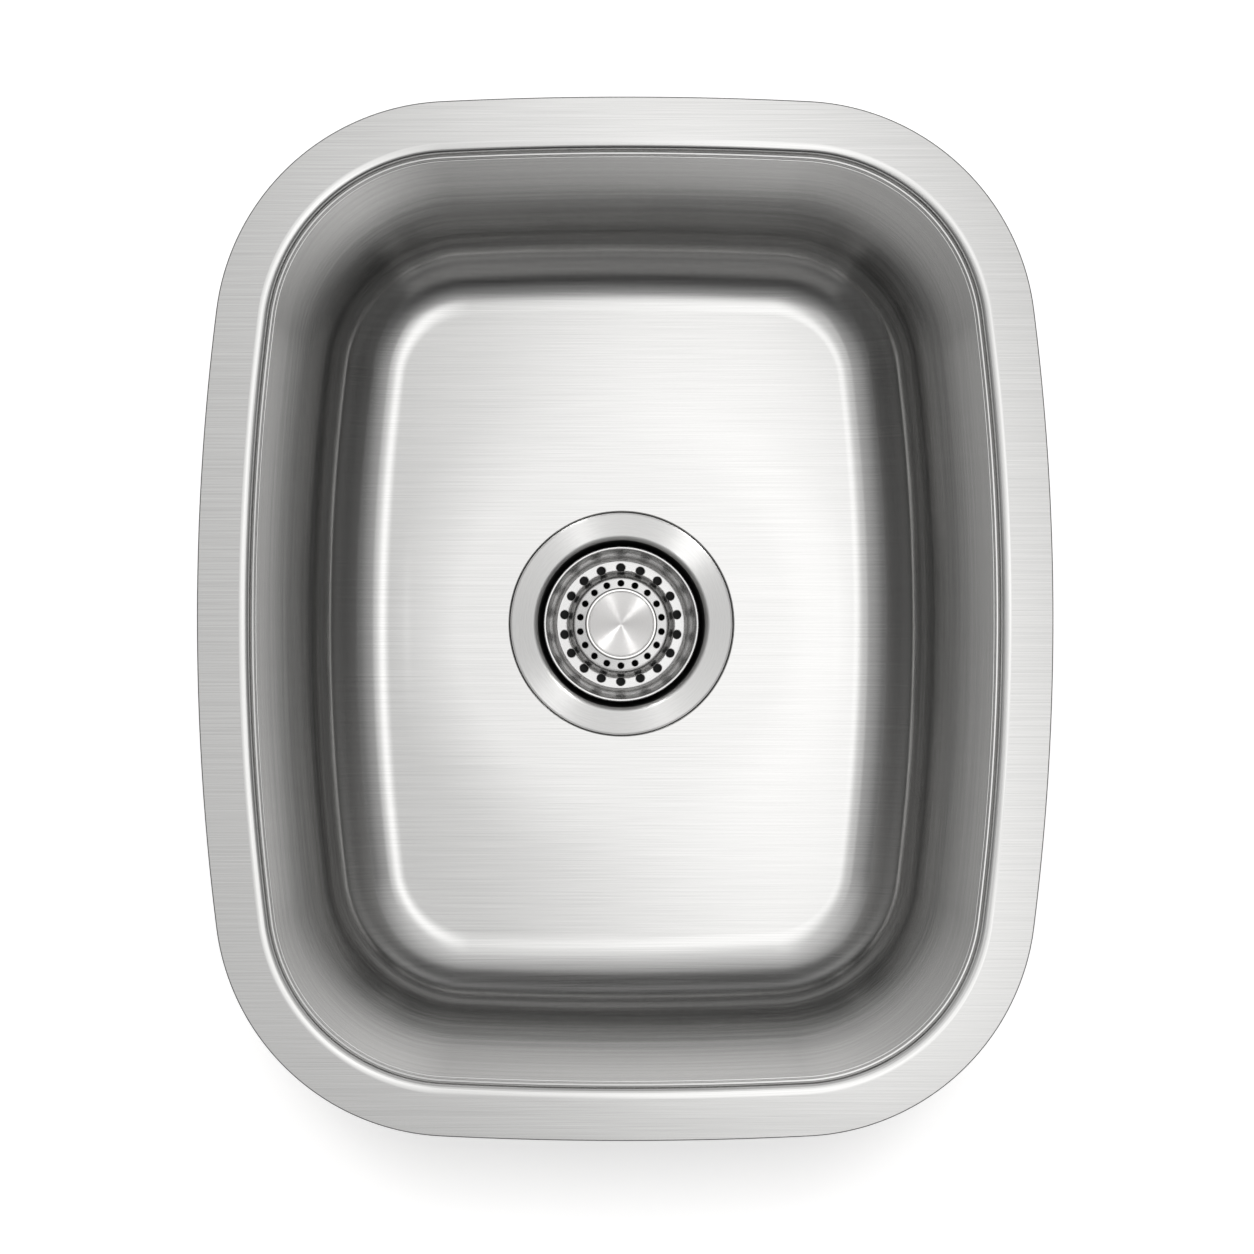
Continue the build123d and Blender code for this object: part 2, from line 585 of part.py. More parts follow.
def post_nut():
    """Hexagonal nut on the post, below the stopper."""
    prism = extrude(RegularPolygon(POST_NUT_WIDTH / 2, 6, major_radius=False), amount=POST_NUT_HEIGHT)
    nut = Pos(0, 0, POST_NUT_TOP - POST_NUT_HEIGHT) * prism
    return nut - ring(0, POST_RADIUS + THREAD_CLEARANCE, POST_NUT_TOP, POST_NUT_HEIGHT)


def basket_post():
    """Post that is screwed into the knob and bored at its foot for the tip."""
    length = POST_TOP - POST_END
    post = Pos(0, 0, (POST_TOP + POST_END) / 2) * Cylinder(POST_RADIUS, length)
    bore = ring(0, TIP_STEM_DIAMETER / 2, POST_END + TIP_STEM_LENGTH, TIP_STEM_LENGTH)
    return post - bore


def post_tip():
    """Split nylon tip that springs through the crossbar's hub and holds the post below it."""
    stem = TIP_STEM_DIAMETER / 2 - THREAD_CLEARANCE
    end = POST_END - TIP_LENGTH
    shoulder = POST_END - TIP_BULGE
    tip = turned(
        (0, POST_END + TIP_STEM_LENGTH - TIP_BULGE, 0),
        (stem, POST_END + TIP_STEM_LENGTH - TIP_BULGE, 0),
        (stem, POST_END, 0),
        (POST_RADIUS, POST_END, 0),
        (TIP_RADIUS, shoulder, 0),
        (TIP_RADIUS, shoulder - TIP_LAND, 0),
        (TIP_NOSE_DIAMETER / 2, end, 0),
        (0, end, 0),
    )
    depth = TIP_LENGTH - TIP_BULGE
    slot = Pos(0, 0, end + depth / 2) * Box(TIP_SLOT, 3 * TIP_RADIUS, depth)
    return tip - slot - Rot(0, 0, 90) * slot


def main():
    os.makedirs("parts", exist_ok=True)
    sub_parts = {
        "sink_bowl": sink_bowl(),
        **sound_pads(),
        "strainer_body": strainer_body(),
        "flange_seal": flange_seal(),
        "sealing_gasket": sealing_gasket(),
        "friction_ring": friction_ring(),
        "lock_nut": lock_nut(),
        "outlet_crossbar": outlet_crossbar(),
        "tailpiece_washer": tailpiece_washer(),
        "tailpiece": tailpiece(),
        "tailpiece_nut": tailpiece_nut(),
        "basket_shell": basket_shell(),
        "knob_skirt": knob_skirt(),
        "knob_cap": knob_cap(),
        "basket_sleeve": basket_sleeve(),
        "stopper_washer": stopper_washer(),
        "stopper_seal": stopper_seal(),
        "post_nut": post_nut(),
        "basket_post": basket_post(),
        "post_tip": post_tip(),
    }
    for name, shape in sub_parts.items():
        export_step(shape, f"parts/{name}.step")


main()
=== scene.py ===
import json
import math

import bmesh
import bpy
import numpy as np
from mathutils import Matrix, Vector


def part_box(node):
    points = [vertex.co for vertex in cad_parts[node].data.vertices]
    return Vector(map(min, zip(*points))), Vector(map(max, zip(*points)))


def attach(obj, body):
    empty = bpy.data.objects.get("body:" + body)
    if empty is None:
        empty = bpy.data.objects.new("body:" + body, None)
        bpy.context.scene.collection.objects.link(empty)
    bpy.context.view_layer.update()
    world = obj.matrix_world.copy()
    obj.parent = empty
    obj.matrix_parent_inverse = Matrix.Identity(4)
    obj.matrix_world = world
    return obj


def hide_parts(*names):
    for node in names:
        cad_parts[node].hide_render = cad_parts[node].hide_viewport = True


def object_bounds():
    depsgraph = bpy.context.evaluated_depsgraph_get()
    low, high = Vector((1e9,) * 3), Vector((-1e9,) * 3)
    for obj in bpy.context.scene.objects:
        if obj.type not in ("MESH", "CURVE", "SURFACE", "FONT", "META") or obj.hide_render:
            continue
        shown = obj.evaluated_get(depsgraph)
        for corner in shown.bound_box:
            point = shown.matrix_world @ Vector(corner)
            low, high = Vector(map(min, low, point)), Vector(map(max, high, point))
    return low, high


# Undermount kitchen sink, seen from straight above on a pale floor. Metres, in the part's own frame:
# the origin is the middle of the flange's top face, +X right, +Y back, +Z up.

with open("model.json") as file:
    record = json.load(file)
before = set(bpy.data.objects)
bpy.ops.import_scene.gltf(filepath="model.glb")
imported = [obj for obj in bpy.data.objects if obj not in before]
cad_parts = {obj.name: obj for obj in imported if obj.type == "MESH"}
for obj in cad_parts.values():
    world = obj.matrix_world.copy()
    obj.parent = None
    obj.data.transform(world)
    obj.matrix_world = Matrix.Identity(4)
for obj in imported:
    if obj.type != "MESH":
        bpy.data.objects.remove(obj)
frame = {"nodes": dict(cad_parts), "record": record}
cad_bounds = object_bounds()

MM = 0.001
FINEST_STEP = 0.1 * MM  # along a small arc

# ---- Sizes read from the frame ----
BOWL_LOW, BOWL_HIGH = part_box("sink_bowl")
BODY_LOW, BODY_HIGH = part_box("strainer_body")
SHELL_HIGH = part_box("basket_shell")[1]
SKIRT_LOW, SKIRT_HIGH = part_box("knob_skirt")
CAP_LOW, CAP_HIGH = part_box("knob_cap")
STOPPER_LOW, STOPPER_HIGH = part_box("stopper_seal")
GASKET_LOW, GASKET_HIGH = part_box("sealing_gasket")
PUTTY_LOW, PUTTY_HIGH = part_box("flange_seal")

# ---- Bowl ----
SHEET = 1.2 * MM
SIDE_BOW = 1085 * MM
END_BOW = 1620 * MM
OUTLINE_CORNER = 104 * MM
MOUTH_INSET = 23.2 * MM
LIP_RADIUS = 3.0 * MM
LIP_EASE_RADIUS = 10.0 * MM  # the gentle start of the roll
LIP_EASE_TURN = math.radians(17)
MOUTH_DROP = 5.0 * MM
LEDGE = 1.1 * MM
LAND_DROP = 9.0 * MM
WALL_DRAFT = math.radians(3.0)
COVE_RADIUS = 36.0 * MM
DRAW_LINE = math.radians(41)  # how far down the cove the step lies where the second draw began
DRAW_LINE_WIDTH = math.radians(3.4)
DRAW_STEP = 1.5 * MM
FLOOR_MARGIN = 4.0 * MM
DISH_FALL = 2.5 * MM
DISH_RADIUS = 105 * MM
DISH_EASE = 20 * MM  # how far the dish's edge is eased to each side
RECESS_DEPTH = 2.2 * MM
RECESS_RISE = 3.0 * MM
RECESS_SLOPE = math.radians(6.0)
FLANGE_GAP = 0.15 * MM
DRAIN_HOLE_RADIUS = 44.75 * MM
RECESS_ROUND = 0.6 * MM
FLOOR_STEPS = 20
SIDE_POINTS, CORNER_POINTS, END_POINTS = 22, 46, 16  # round a quarter of the outline
UPPER_TURN, RECESS_TURN, UNDER_TURN = 1.7, 12, 8  # degrees between the rings round its bends
WALL_BRUSH_START = 12.0 * MM  # above the floor, where the brushing begins to follow the walls
WALL_BRUSH_BLEND = 9.0 * MM
EDGE_ROUND = 0.5 * MM  # the cut edge of the sheet
LEDGE_ROUND = 0.35 * MM

HALF_WIDTH = BOWL_HIGH.x
HALF_LENGTH = BOWL_HIGH.y
SEAT_LEVEL = BOWL_LOW.z + SHEET
FLOOR_CENTRE = SEAT_LEVEL + RECESS_DEPTH
FLOOR_LEVEL = FLOOR_CENTRE + DISH_FALL
WALL_INSET = MOUTH_INSET + LEDGE
FOOT_INSET = WALL_INSET - FLOOR_LEVEL * math.tan(WALL_DRAFT)
CORE_INSET = FOOT_INSET + COVE_RADIUS + FLOOR_MARGIN

# ---- Drain ----
FLANGE_RADIUS = BODY_HIGH.x
BODY_LEVEL = BODY_HIGH.z

# ---- Camera ----
PHOTO = 1254  # pixels on each side of the photograph
AXIS_X = 600  # the pixel that lies straight below the lens
AXIS_Y = 652
CAMERA_X = -11.0 * MM
CAMERA_Y = -14.5 * MM
CAMERA_HEIGHT = 1072 * MM
FRAME_WIDTH = 547.3 * MM  # what the frame takes in at the level of the flange
SENSOR = 36.0
CLIP_START = 0.01

# ---- Light ----
SOFTBOX_HEIGHT = 1.6
SOFTBOX_X = (-0.65, 0.85)
SOFTBOX_Y = (-0.67, 1.15)
SOFTBOX_EDGE_LIGHT = 0.88  # radiance of its dim parts
SOFTBOX_CORE_LIGHT = 1.0  # what its lamps add in the middle of their glow
GLOW_X = 0.18  # how far to the right the glow lies
GLOW_LEAN = 0.2  # and how much further for each metre towards the front
GLOW_REACH = 0.22
GLOW_Y = (-0.64, -0.38, 0.25, 0.76)  # where the glow starts, is full, begins to fade and has faded
GLOW_REAR = 0.35  # what is left of it at the rear
HORIZON_LIGHT = 1.0
HORIZON_TOP = 0.12  # sines of the heights at which the pale horizon ends,
ROOM_START = 0.30  # the room has darkened
CEILING_START = 0.6  # and the ceiling begins
ROOM_LIGHT = 0.02
CEILING_LIGHT = 0.55  # what the ceiling round the softbox adds
REAR_LIGHT = 1.4  # what the room's rear and both sides add, between floor and ceiling
SIDE_LIGHT = 0.5
KEY_LIGHT = 92
KEY_SIZE = 0.3
KEY_PLACE = (0.0, 0.47, 2.6)
FLOOR_GLOW = 0.40  # what makes the floor look white without lighting anything
FLOOR_HALF = 6.0
STRIP_REACH = 1.4
STRIP_LENGTH = 0.8
STRIP_ELEVATION = math.radians(50)
STRIP_TARGET = (0, 0, -0.19)
STRIPS = (
    # direction in degrees, width, radiance
    (48, 0.20, 8.0),
    (113, 0.10, 8.0),
)


# ---- Outlines and sections ----

def rounded(corners, degrees):
    """Line through corners given as (across, up, radius), with an arc at each that turns by a few degrees
    at a step."""
    places = [np.array(corner[:2], float) for corner in corners]
    points = places[:1]
    for before, middle, after, (_, _, radius) in zip(places, places[1:], places[2:], corners[1:]):
        back, on = before - middle, after - middle
        back /= np.linalg.norm(back)
        on /= np.linalg.norm(on)
        opening = math.acos(np.clip(back @ on, -1, 1))
        bend = math.pi - opening
        if radius == 0 or bend < 1e-4:
            points.append(middle)
            continue
        reach = radius * math.tan(bend / 2)
        centre = middle + (back + on) / np.linalg.norm(back + on) * radius / math.sin(opening / 2)
        start = middle + back * reach - centre
        steps = min(math.ceil(bend / math.radians(degrees)), math.ceil(bend * radius / FINEST_STEP))
        steps = max(2, steps)
        side = 1 if back[0] * on[1] - back[1] * on[0] < 0 else -1
        for step in range(steps + 1):
            angle = side * bend * step / steps
            cos, sin = math.cos(angle), math.sin(angle)
            points.append(centre + (cos * start[0] - sin * start[1], sin * start[0] + cos * start[1]))
    return np.array(points + places[-1:])


def line_normals(line):
    """Unit normals of an open line, to its left, with long steps counting more than short ones."""
    ahead = np.gradient(line, axis=0)
    ahead[1:-1] = line[2:] - line[:-2]
    ahead /= np.linalg.norm(ahead, axis=1)[:, None]
    return np.stack([-ahead[:, 1], ahead[:, 0]], axis=1)


def offset_line(line, amount):
    """The line moved to its left by an amount."""
    return line + line_normals(line) * amount


def bowed_outline():
    """Arc centres, radii and outward directions of points round the flange's edge, anticlockwise."""
    side_centre = HALF_WIDTH - SIDE_BOW
    end_centre = HALF_LENGTH - END_BOW
    # The corner arc's centre lies inside both bows by the corner's radius.
    across, along = HALF_WIDTH - OUTLINE_CORNER, HALF_LENGTH - OUTLINE_CORNER
    for _ in range(60):
        across -= math.hypot(across - side_centre, along) - (SIDE_BOW - OUTLINE_CORNER)
        along -= math.hypot(across, along - end_centre) - (END_BOW - OUTLINE_CORNER)
    side_turn = math.atan2(along, across - side_centre)
    end_turn = math.atan2(along - end_centre, across)
    quarter = []
    for arc, first, last, count in (
        ((side_centre, 0, SIDE_BOW), 0, side_turn, SIDE_POINTS),
        ((across, along, OUTLINE_CORNER), side_turn, end_turn, CORNER_POINTS),
        ((0, end_centre, END_BOW), end_turn, math.pi / 2, END_POINTS),
    ):
        for step in range(count):
            quarter.append((*arc, first + (last - first) * step / count))
    quarter.append((*arc, last))
    rows = quarter[:-1]
    rows += [(-x, y, r, math.pi - a) for x, y, r, a in quarter[:0:-1]]
    rows += [(-x, -y, r, math.pi + a) for x, y, r, a in quarter[:-1]]
    rows += [(x, -y, r, 2 * math.pi - a) for x, y, r, a in quarter[:0:-1]]
    rows = np.array(rows)
    directions = np.stack([np.cos(rows[:, 3]), np.sin(rows[:, 3])], axis=1)
    return rows[:, :2], rows[:, 2:3], directions


OUTLINE_CENTRES, OUTLINE_RADII, OUTLINE_DIRECTIONS = bowed_outline()


def outline_ring(inset, level):
    """Points of the outline moved inwards by an inset, at a level."""
    plan = OUTLINE_CENTRES + (OUTLINE_RADII - inset) * OUTLINE_DIRECTIONS
    return np.column_stack([plan, np.full(len(plan), level)])


def circle_ring(radius, level):
    """Points of a circle round the drain, each in the direction of its partner in the outline."""
    plan = outline_ring(CORE_INSET, 0)[:, :2]
    plan = plan / np.linalg.norm(plan, axis=1)[:, None] * radius
    return np.column_stack([plan, np.full(len(plan), level)])


def floor_level(radius):
    """Level of the floor's upper side at a distance from the drain's axis: a large sphere, eased off."""
    ball = (DISH_RADIUS ** 2 + DISH_FALL ** 2) / (2 * DISH_FALL)
    start, end = DISH_RADIUS - DISH_EASE, DISH_RADIUS + DISH_EASE
    inside = np.clip(start ** 2 - np.minimum(radius, start) ** 2, 0, None) / (2 * ball)
    share = np.clip((end - radius) / (end - start), 0, 1)
    return FLOOR_LEVEL - inside - share ** 2 * (end - start) * start / (2 * ball)


# ---- Meshes ----

def new_object(name, vertices, faces, normals=None, slots=None):
    """Mesh object with smooth faces and, where they are given, the normals of its points."""
    mesh = bpy.data.meshes.new(name)
    mesh.from_pydata([tuple(v) for v in vertices], [], faces)
    mesh.polygons.foreach_set("use_smooth", [True] * len(mesh.polygons))
    if slots is not None:
        mesh.polygons.foreach_set("material_index", slots)
    if normals is not None:
        mesh.normals_split_custom_set_from_vertices([tuple(n) for n in normals])
    mesh.update()
    piece = bpy.data.objects.new(name, mesh)
    bpy.context.scene.collection.objects.link(piece)
    return piece


def grid_normals(rings):
    """Normals of a grid of points that closes on itself both ways."""
    round_the_ring = np.roll(rings, -1, axis=1) - np.roll(rings, 1, axis=1)
    down = np.roll(rings, -1, axis=0) - np.roll(rings, 1, axis=0)
    normals = np.cross(down, round_the_ring)
    length = np.linalg.norm(normals, axis=2)[:, :, None]
    return normals / np.maximum(length, 1e-15)


def grid_faces(rows, columns, closed):
    """Quads of a grid of points whose rows close on themselves, and whose columns may."""
    faces = []
    for row in range(rows if closed else rows - 1):
        above, below = row * columns, (row + 1) % rows * columns
        for column in range(columns):
            beside = (column + 1) % columns
            faces.append((above + column, below + column, below + beside, above + beside))
    return faces


def mark(piece, name, values):
    """Attribute that gives each point of the piece a vector or a number."""
    values = np.asarray(values, np.float32)
    kind, field = ("FLOAT_VECTOR", "vector") if values.ndim == 2 else ("FLOAT", "value")
    attribute = piece.data.attributes.new(name, kind, "POINT")
    attribute.data.foreach_set(field, values.reshape(-1))


def turned(name, line, body, columns=192, slot_of=None):
    """Piece turned about the drain's axis, with marks that run round it. The line's points are
    (radius, level), and the last is the first again. slot_of(radius, level) gives the number of the
    material at a point of the line."""
    line = line[:-1]
    angles = np.arange(columns) / columns * 2 * math.pi
    rings = np.empty((len(line), columns, 3))
    rings[:, :, 0] = line[:, 0:1] * np.cos(angles)
    rings[:, :, 1] = line[:, 0:1] * np.sin(angles)
    rings[:, :, 2] = line[:, 1:2]
    normals = grid_normals(rings)
    faces = grid_faces(len(line), columns, True)
    slots = None
    if slot_of:
        middles = (line + np.roll(line, -1, axis=0)) / 2
        slots = [slot_of(*middles[face[0] // columns]) for face in faces]
    piece = new_object(name, rings.reshape(-1, 3), faces, normals.reshape(-1, 3), slots)
    mark_turning(piece)
    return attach(piece, body)


def mark_brushing(piece, angles, lanes, rounds):
    """Attributes for brushing marks: twice the angle of their direction in plan, so that a line and its
    opposite are the same, coordinates along and across curved marks, and how curved they are."""
    twice = 2 * angles
    mark(piece, "brush", np.column_stack([np.cos(twice), np.sin(twice), 0 * twice]))
    mark(piece, "lane", lanes)
    mark(piece, "round", rounds)


def mark_turning(piece):
    """Marks that run round the drain's axis."""
    count = len(piece.data.vertices)
    points = np.empty(count * 3, np.float32)
    piece.data.vertices.foreach_get("co", points)
    points = points.reshape(-1, 3)
    radius = np.maximum(np.hypot(points[:, 0], points[:, 1]), 1e-9)
    angles = np.arctan2(points[:, 1], points[:, 0])
    lanes = np.column_stack([np.cos(angles), np.sin(angles), radius + points[:, 2]])
    mark_brushing(piece, angles + math.pi / 2, lanes, np.ones(count))


# ---- The bowl ----

def drawn_line(line):
    """The bowl's section with the faint step that the second draw leaves in the cove."""
    cove_reach = COVE_RADIUS * math.tan(math.pi / 4 - WALL_DRAFT / 2)
    centre = np.array([FOOT_INSET + cove_reach, FLOOR_LEVEL + COVE_RADIUS])
    away = line - centre
    reach = np.linalg.norm(away, axis=1)
    turn = np.arctan2(-away[:, 1], -away[:, 0])
    in_cove = (reach < COVE_RADIUS + 2 * SHEET) & (turn > 0) & (turn < math.pi / 2)
    rise = 1 / (1 + np.exp((DRAW_LINE - turn) / DRAW_LINE_WIDTH))
    fade = np.clip((turn - DRAW_LINE) / (math.pi / 2 - WALL_DRAFT - DRAW_LINE), 0, 1)
    step = rise * (1 - fade * fade * (3 - 2 * fade)) * DRAW_STEP
    return np.where(in_cove[:, None], centre + away * (1 - step / np.maximum(reach, 1e-9))[:, None], line)


def bowl_rings():
    """Rings of the closed sheet: down its upper side from edge to drain hole, and back below.

    Returns the rings and, for each, how far its brushing follows the outline (1) or lies along X (0)."""
    recess_foot = FLANGE_RADIUS + FLANGE_GAP
    recess_head = recess_foot + RECESS_RISE * math.tan(RECESS_SLOPE)
    head_level = float(floor_level(recess_head))
    ease_end = MOUTH_INSET - LIP_RADIUS * (1 - math.sin(LIP_EASE_TURN))
    ease_reach = LIP_EASE_RADIUS * math.tan(LIP_EASE_TURN / 2)
    ease_start = ease_end - LIP_EASE_RADIUS * math.sin(LIP_EASE_TURN)
    lip_corner = ease_start + ease_reach
    lip_fall = (MOUTH_INSET - lip_corner) * math.tan(LIP_EASE_TURN)
    land_end = WALL_INSET + LAND_DROP * math.tan(WALL_DRAFT)
    upper = rounded([
        (0, -SHEET / 2, 0),
        (0, 0, EDGE_ROUND),
        (lip_corner, 0, LIP_EASE_RADIUS),
        (MOUTH_INSET, -lip_fall, LIP_RADIUS),
        (MOUTH_INSET, -MOUTH_DROP, LEDGE_ROUND),
        (WALL_INSET, -MOUTH_DROP, LEDGE_ROUND),
        (WALL_INSET, -LAND_DROP, LEDGE_ROUND / 2),
        (land_end, -LAND_DROP, LEDGE_ROUND / 2),
        (FOOT_INSET, FLOOR_LEVEL, COVE_RADIUS),
        (CORE_INSET, FLOOR_LEVEL, 0),
    ], UPPER_TURN)
    under = rounded([
        (CORE_INSET, FLOOR_LEVEL - SHEET, 0),
        (FOOT_INSET - SHEET, FLOOR_LEVEL - SHEET, COVE_RADIUS + SHEET),
        (WALL_INSET - SHEET + LAND_DROP * math.tan(WALL_DRAFT), -LAND_DROP - SHEET, LEDGE_ROUND),
        (WALL_INSET - SHEET, -LAND_DROP - SHEET, LEDGE_ROUND),
        (WALL_INSET - SHEET, -MOUTH_DROP - SHEET, LEDGE_ROUND),
        (MOUTH_INSET - SHEET, -MOUTH_DROP - SHEET, LEDGE_ROUND),
        (MOUTH_INSET - SHEET, -SHEET, LIP_RADIUS - SHEET),
        (0, -SHEET, EDGE_ROUND),
        (0, -SHEET / 2, 0),
    ], UNDER_TURN)
    upper, under = drawn_line(upper), drawn_line(under)
    rings, follows = [], []
    for inset, level in upper:
        climb = (level - FLOOR_LEVEL - WALL_BRUSH_START) / WALL_BRUSH_BLEND
        rings.append(outline_ring(inset, level))
        follows.append(min(1.0, max(0.0, climb)) if inset > ease_start else 0.0)

    # The floor runs from the outline's shape to the recess's circle.
    core = outline_ring(CORE_INSET, 0)
    brink = circle_ring(recess_head + RECESS_ROUND, 0)

    def floor_ring(share, drop):
        ring = core + (brink - core) * share
        ring[:, 2] = floor_level(np.hypot(ring[:, 0], ring[:, 1])) - drop
        return ring

    rings += [floor_ring(step / FLOOR_STEPS, 0) for step in range(1, FLOOR_STEPS + 1)]
    recess = rounded([
        (recess_head + 2 * RECESS_ROUND, float(floor_level(recess_head + 2 * RECESS_ROUND)), 0),
        (recess_head, head_level, RECESS_ROUND),
        (recess_foot, SEAT_LEVEL, RECESS_ROUND),
        (DRAIN_HOLE_RADIUS, SEAT_LEVEL, EDGE_ROUND),
        (DRAIN_HOLE_RADIUS, SEAT_LEVEL - SHEET, EDGE_ROUND),
        (recess_foot, SEAT_LEVEL - SHEET, RECESS_ROUND),
        (recess_head + SHEET, head_level - SHEET, 2 * RECESS_ROUND),
        (recess_head + 4 * RECESS_ROUND, head_level - SHEET, 0),
    ], RECESS_TURN)
    rings += [circle_ring(radius, level) for radius, level in recess[1:-1]]
    rings += [floor_ring(step / FLOOR_STEPS, SHEET) for step in range(FLOOR_STEPS - 2, 0, -1)]
    follows += [0.0] * (len(rings) - len(follows))
    rings += [outline_ring(inset, level) for inset, level in under[:-1]]
    follows += [1.0] * (len(rings) - len(follows))
    return np.array(rings), np.array(follows)


def sink_bowl():
    """The sheet, with slots 0 for brushed steel, 1 for its unpolished underside and 2 for its cut edge,
    which is painted near black as a painted shade line round the outline.
    """
    rings, follows = bowl_rings()
    columns = rings.shape[1]
    normals = grid_normals(rings)
    faces = grid_faces(len(rings), columns, True)
    # Rows of faces run from the cut edge over the upper side to the edge of the seat, and back below.
    turning_row = int(np.argmin(rings[:, 0, 0])) + 2
    cut_rows = int(np.sum(HALF_WIDTH - rings[:turning_row, 0, 0] < 0.9 * EDGE_ROUND))
    slots = []
    for face in faces:
        row = face[0] // columns
        slots.append(2 if row < cut_rows else 0 if row < turning_row else 1)
    bowl = new_object("bowl_dressed", rings.reshape(-1, 3), faces, normals.reshape(-1, 3), slots)

    # Brushing follows the outline on the walls, and runs along X on the flange and the floor.
    around = np.arctan2(OUTLINE_DIRECTIONS[:, 1], OUTLINE_DIRECTIONS[:, 0]) + math.pi / 2
    share = follows[:, None]
    twice_x = 1 - share + share * np.cos(2 * around)
    twice_y = share * np.sin(2 * around)
    angles = np.arctan2(twice_y, twice_x) / 2
    step = np.linalg.norm(np.roll(rings[0], -1, axis=0) - rings[0], axis=1)
    turn = np.concatenate([[0], np.cumsum(step)[:-1]]) / step.sum() * 2 * math.pi
    depth = np.concatenate([[0], np.cumsum(np.linalg.norm(np.diff(rings[:, 0], axis=0), axis=1))])
    lane = np.empty_like(rings)
    lane[:, :, 0] = np.cos(turn)
    lane[:, :, 1] = np.sin(turn)
    lane[:, :, 2] = depth[:, None]
    mark_brushing(bowl, angles.reshape(-1), lane.reshape(-1, 3), np.repeat(follows, columns))
    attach(bowl, "sink")
    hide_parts("sink_bowl")
    return bowl


# ---- The drain ----

THREAD_DEPTH = 0.55 * MM
THREAD_ROUND = 0.05 * MM
CREST_SHARE = 0.2  # how much of the pitch its flat crest takes up


def thread_turns(radius, top, foot, pitch):
    """Corners of a line down a threaded outside, from a plain neck at its top to one at its foot."""
    root = radius - THREAD_DEPTH
    corners = [(root, top + pitch, 0.2 * MM), (root, top, 0.1 * MM)]
    for turn in range(int((top - foot) / pitch)):
        crest = top - (turn + 0.5) * pitch
        corners.append((radius, crest + CREST_SHARE * pitch / 2, THREAD_ROUND))
        corners.append((radius, crest - CREST_SHARE * pitch / 2, THREAD_ROUND))
        corners.append((root, crest - 0.5 * pitch, THREAD_ROUND))
    return corners


def strainer_body():
    """Flange, rolled throat, cup and spud, with the screw thread round the cup and the spud."""
    throat = 43.2 * MM
    cup_foot = 41.6 * MM
    cup_floor = BODY_LEVEL - 51.5 * MM
    outlet = cup_floor - 1.5 * MM
    ledge_radius = 22.0 * MM
    outlet_radius = 20.4 * MM
    spud_radius = 23.6 * MM
    body_radius = 43.75 * MM
    spud_top = outlet - 2.9 * MM
    spud_foot = BODY_LOW.z
    crossbar_ledge = outlet - 6 * MM
    underside = BODY_LEVEL - 1.6 * MM
    cup_start = BODY_LEVEL - 9 * MM
    line = rounded([
        (spud_radius, spud_foot + 4 * MM, 0),
        (spud_radius - 0.1 * MM, spud_foot, 0.8 * MM),
        (outlet_radius, spud_foot, 0.5 * MM),
        (outlet_radius, crossbar_ledge, 0.1 * MM),
        (ledge_radius, crossbar_ledge, 0.1 * MM),
        (ledge_radius, outlet, 0.4 * MM),
        (cup_foot, cup_floor, 9 * MM),
        (throat, BODY_LEVEL, 2.6 * MM),
        (FLANGE_RADIUS - 1.0 * MM, BODY_LEVEL, 1.2 * MM),
        (FLANGE_RADIUS, BODY_LEVEL - 0.25 * MM, 0.25 * MM),
        (FLANGE_RADIUS, underside, 0.2 * MM),
        *thread_turns(body_radius, underside - 3 * MM, cup_floor + 10 * MM, 2.1 * MM),
        (body_radius, cup_floor - 2.9 * MM, 12 * MM),
        *thread_turns(spud_radius, spud_top - 3 * MM, spud_foot + 5 * MM, 2.2 * MM),
        (spud_radius, spud_foot + 4 * MM, 0),
    ], 4)

    def slot_of(radius, level):
        """1 inside the cup and the outlet, whose rougher steel is painted near black as painted shade in
        the hollow, and 0 elsewhere.
        """
        in_cup = radius < throat - 0.2 * MM and outlet - 0.1 * MM < level < cup_start
        return 1 if in_cup or radius < ledge_radius + 0.1 * MM else 0

    piece = turned("strainer_dressed", line, "sink", 256, slot_of)
    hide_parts("strainer_body")
    return piece


HOLE_RINGS = (
    # middle of the hole from the axis, its radius, inner and outer edge of the band that it lies in
    (30.2 * MM, 2.2 * MM, 27.6 * MM, 33.0 * MM),
    (21.7 * MM, 1.55 * MM, 19.4 * MM, 23.9 * MM),
)
HOLES = 18
SECTOR_STEPS = 16  # points along each curved side of the patch round a hole
BAND_STEPS = 8  # and along its straight sides
PATCH_SHARES = (0, 0.12, 0.3, 0.52, 0.76, 1.0)  # loops from a hole's edge to the border of its patch
HOLE_EDGE = 0.25 * MM  # bevel round each hole
BASKET_SHEET = 0.8 * MM


def basket_line(degrees=3):
    """Upper side of the basket's sheet, from its turned-down rim to the hole for the post."""
    level, rim = SHELL_HIGH.z, SHELL_HIGH.x
    trough, middle = level - 31.0 * MM, level - 21.6 * MM
    return rounded([
        (rim, level - 1.2 * MM, 0),
        (rim, level, 0.9 * MM),
        (rim - 1.9 * MM, level - 0.1 * MM, 0.8 * MM),
        (37.0 * MM, level - 9.0 * MM, 6.0 * MM),
        (35.3 * MM, trough, 2.4 * MM),
        (27.9 * MM, trough, 1.4 * MM),
        (25.3 * MM, level - 22.6 * MM, 2.4 * MM),
        (17.0 * MM, middle, 1.0 * MM),
        (4.2 * MM, middle, 0),
    ], degrees)


def cut_line(line, radius_from, radius_to):
    """Part of a line whose radius shrinks all the way, between two radii."""
    order = np.argsort(line[:, 0])
    ends = [(r, np.interp(r, line[order, 0], line[order, 1])) for r in (radius_from, radius_to)]
    middle = [tuple(p) for p in line if radius_to + 1e-6 < p[0] < radius_from - 1e-6]
    return np.array([ends[0], *middle, ends[1]])


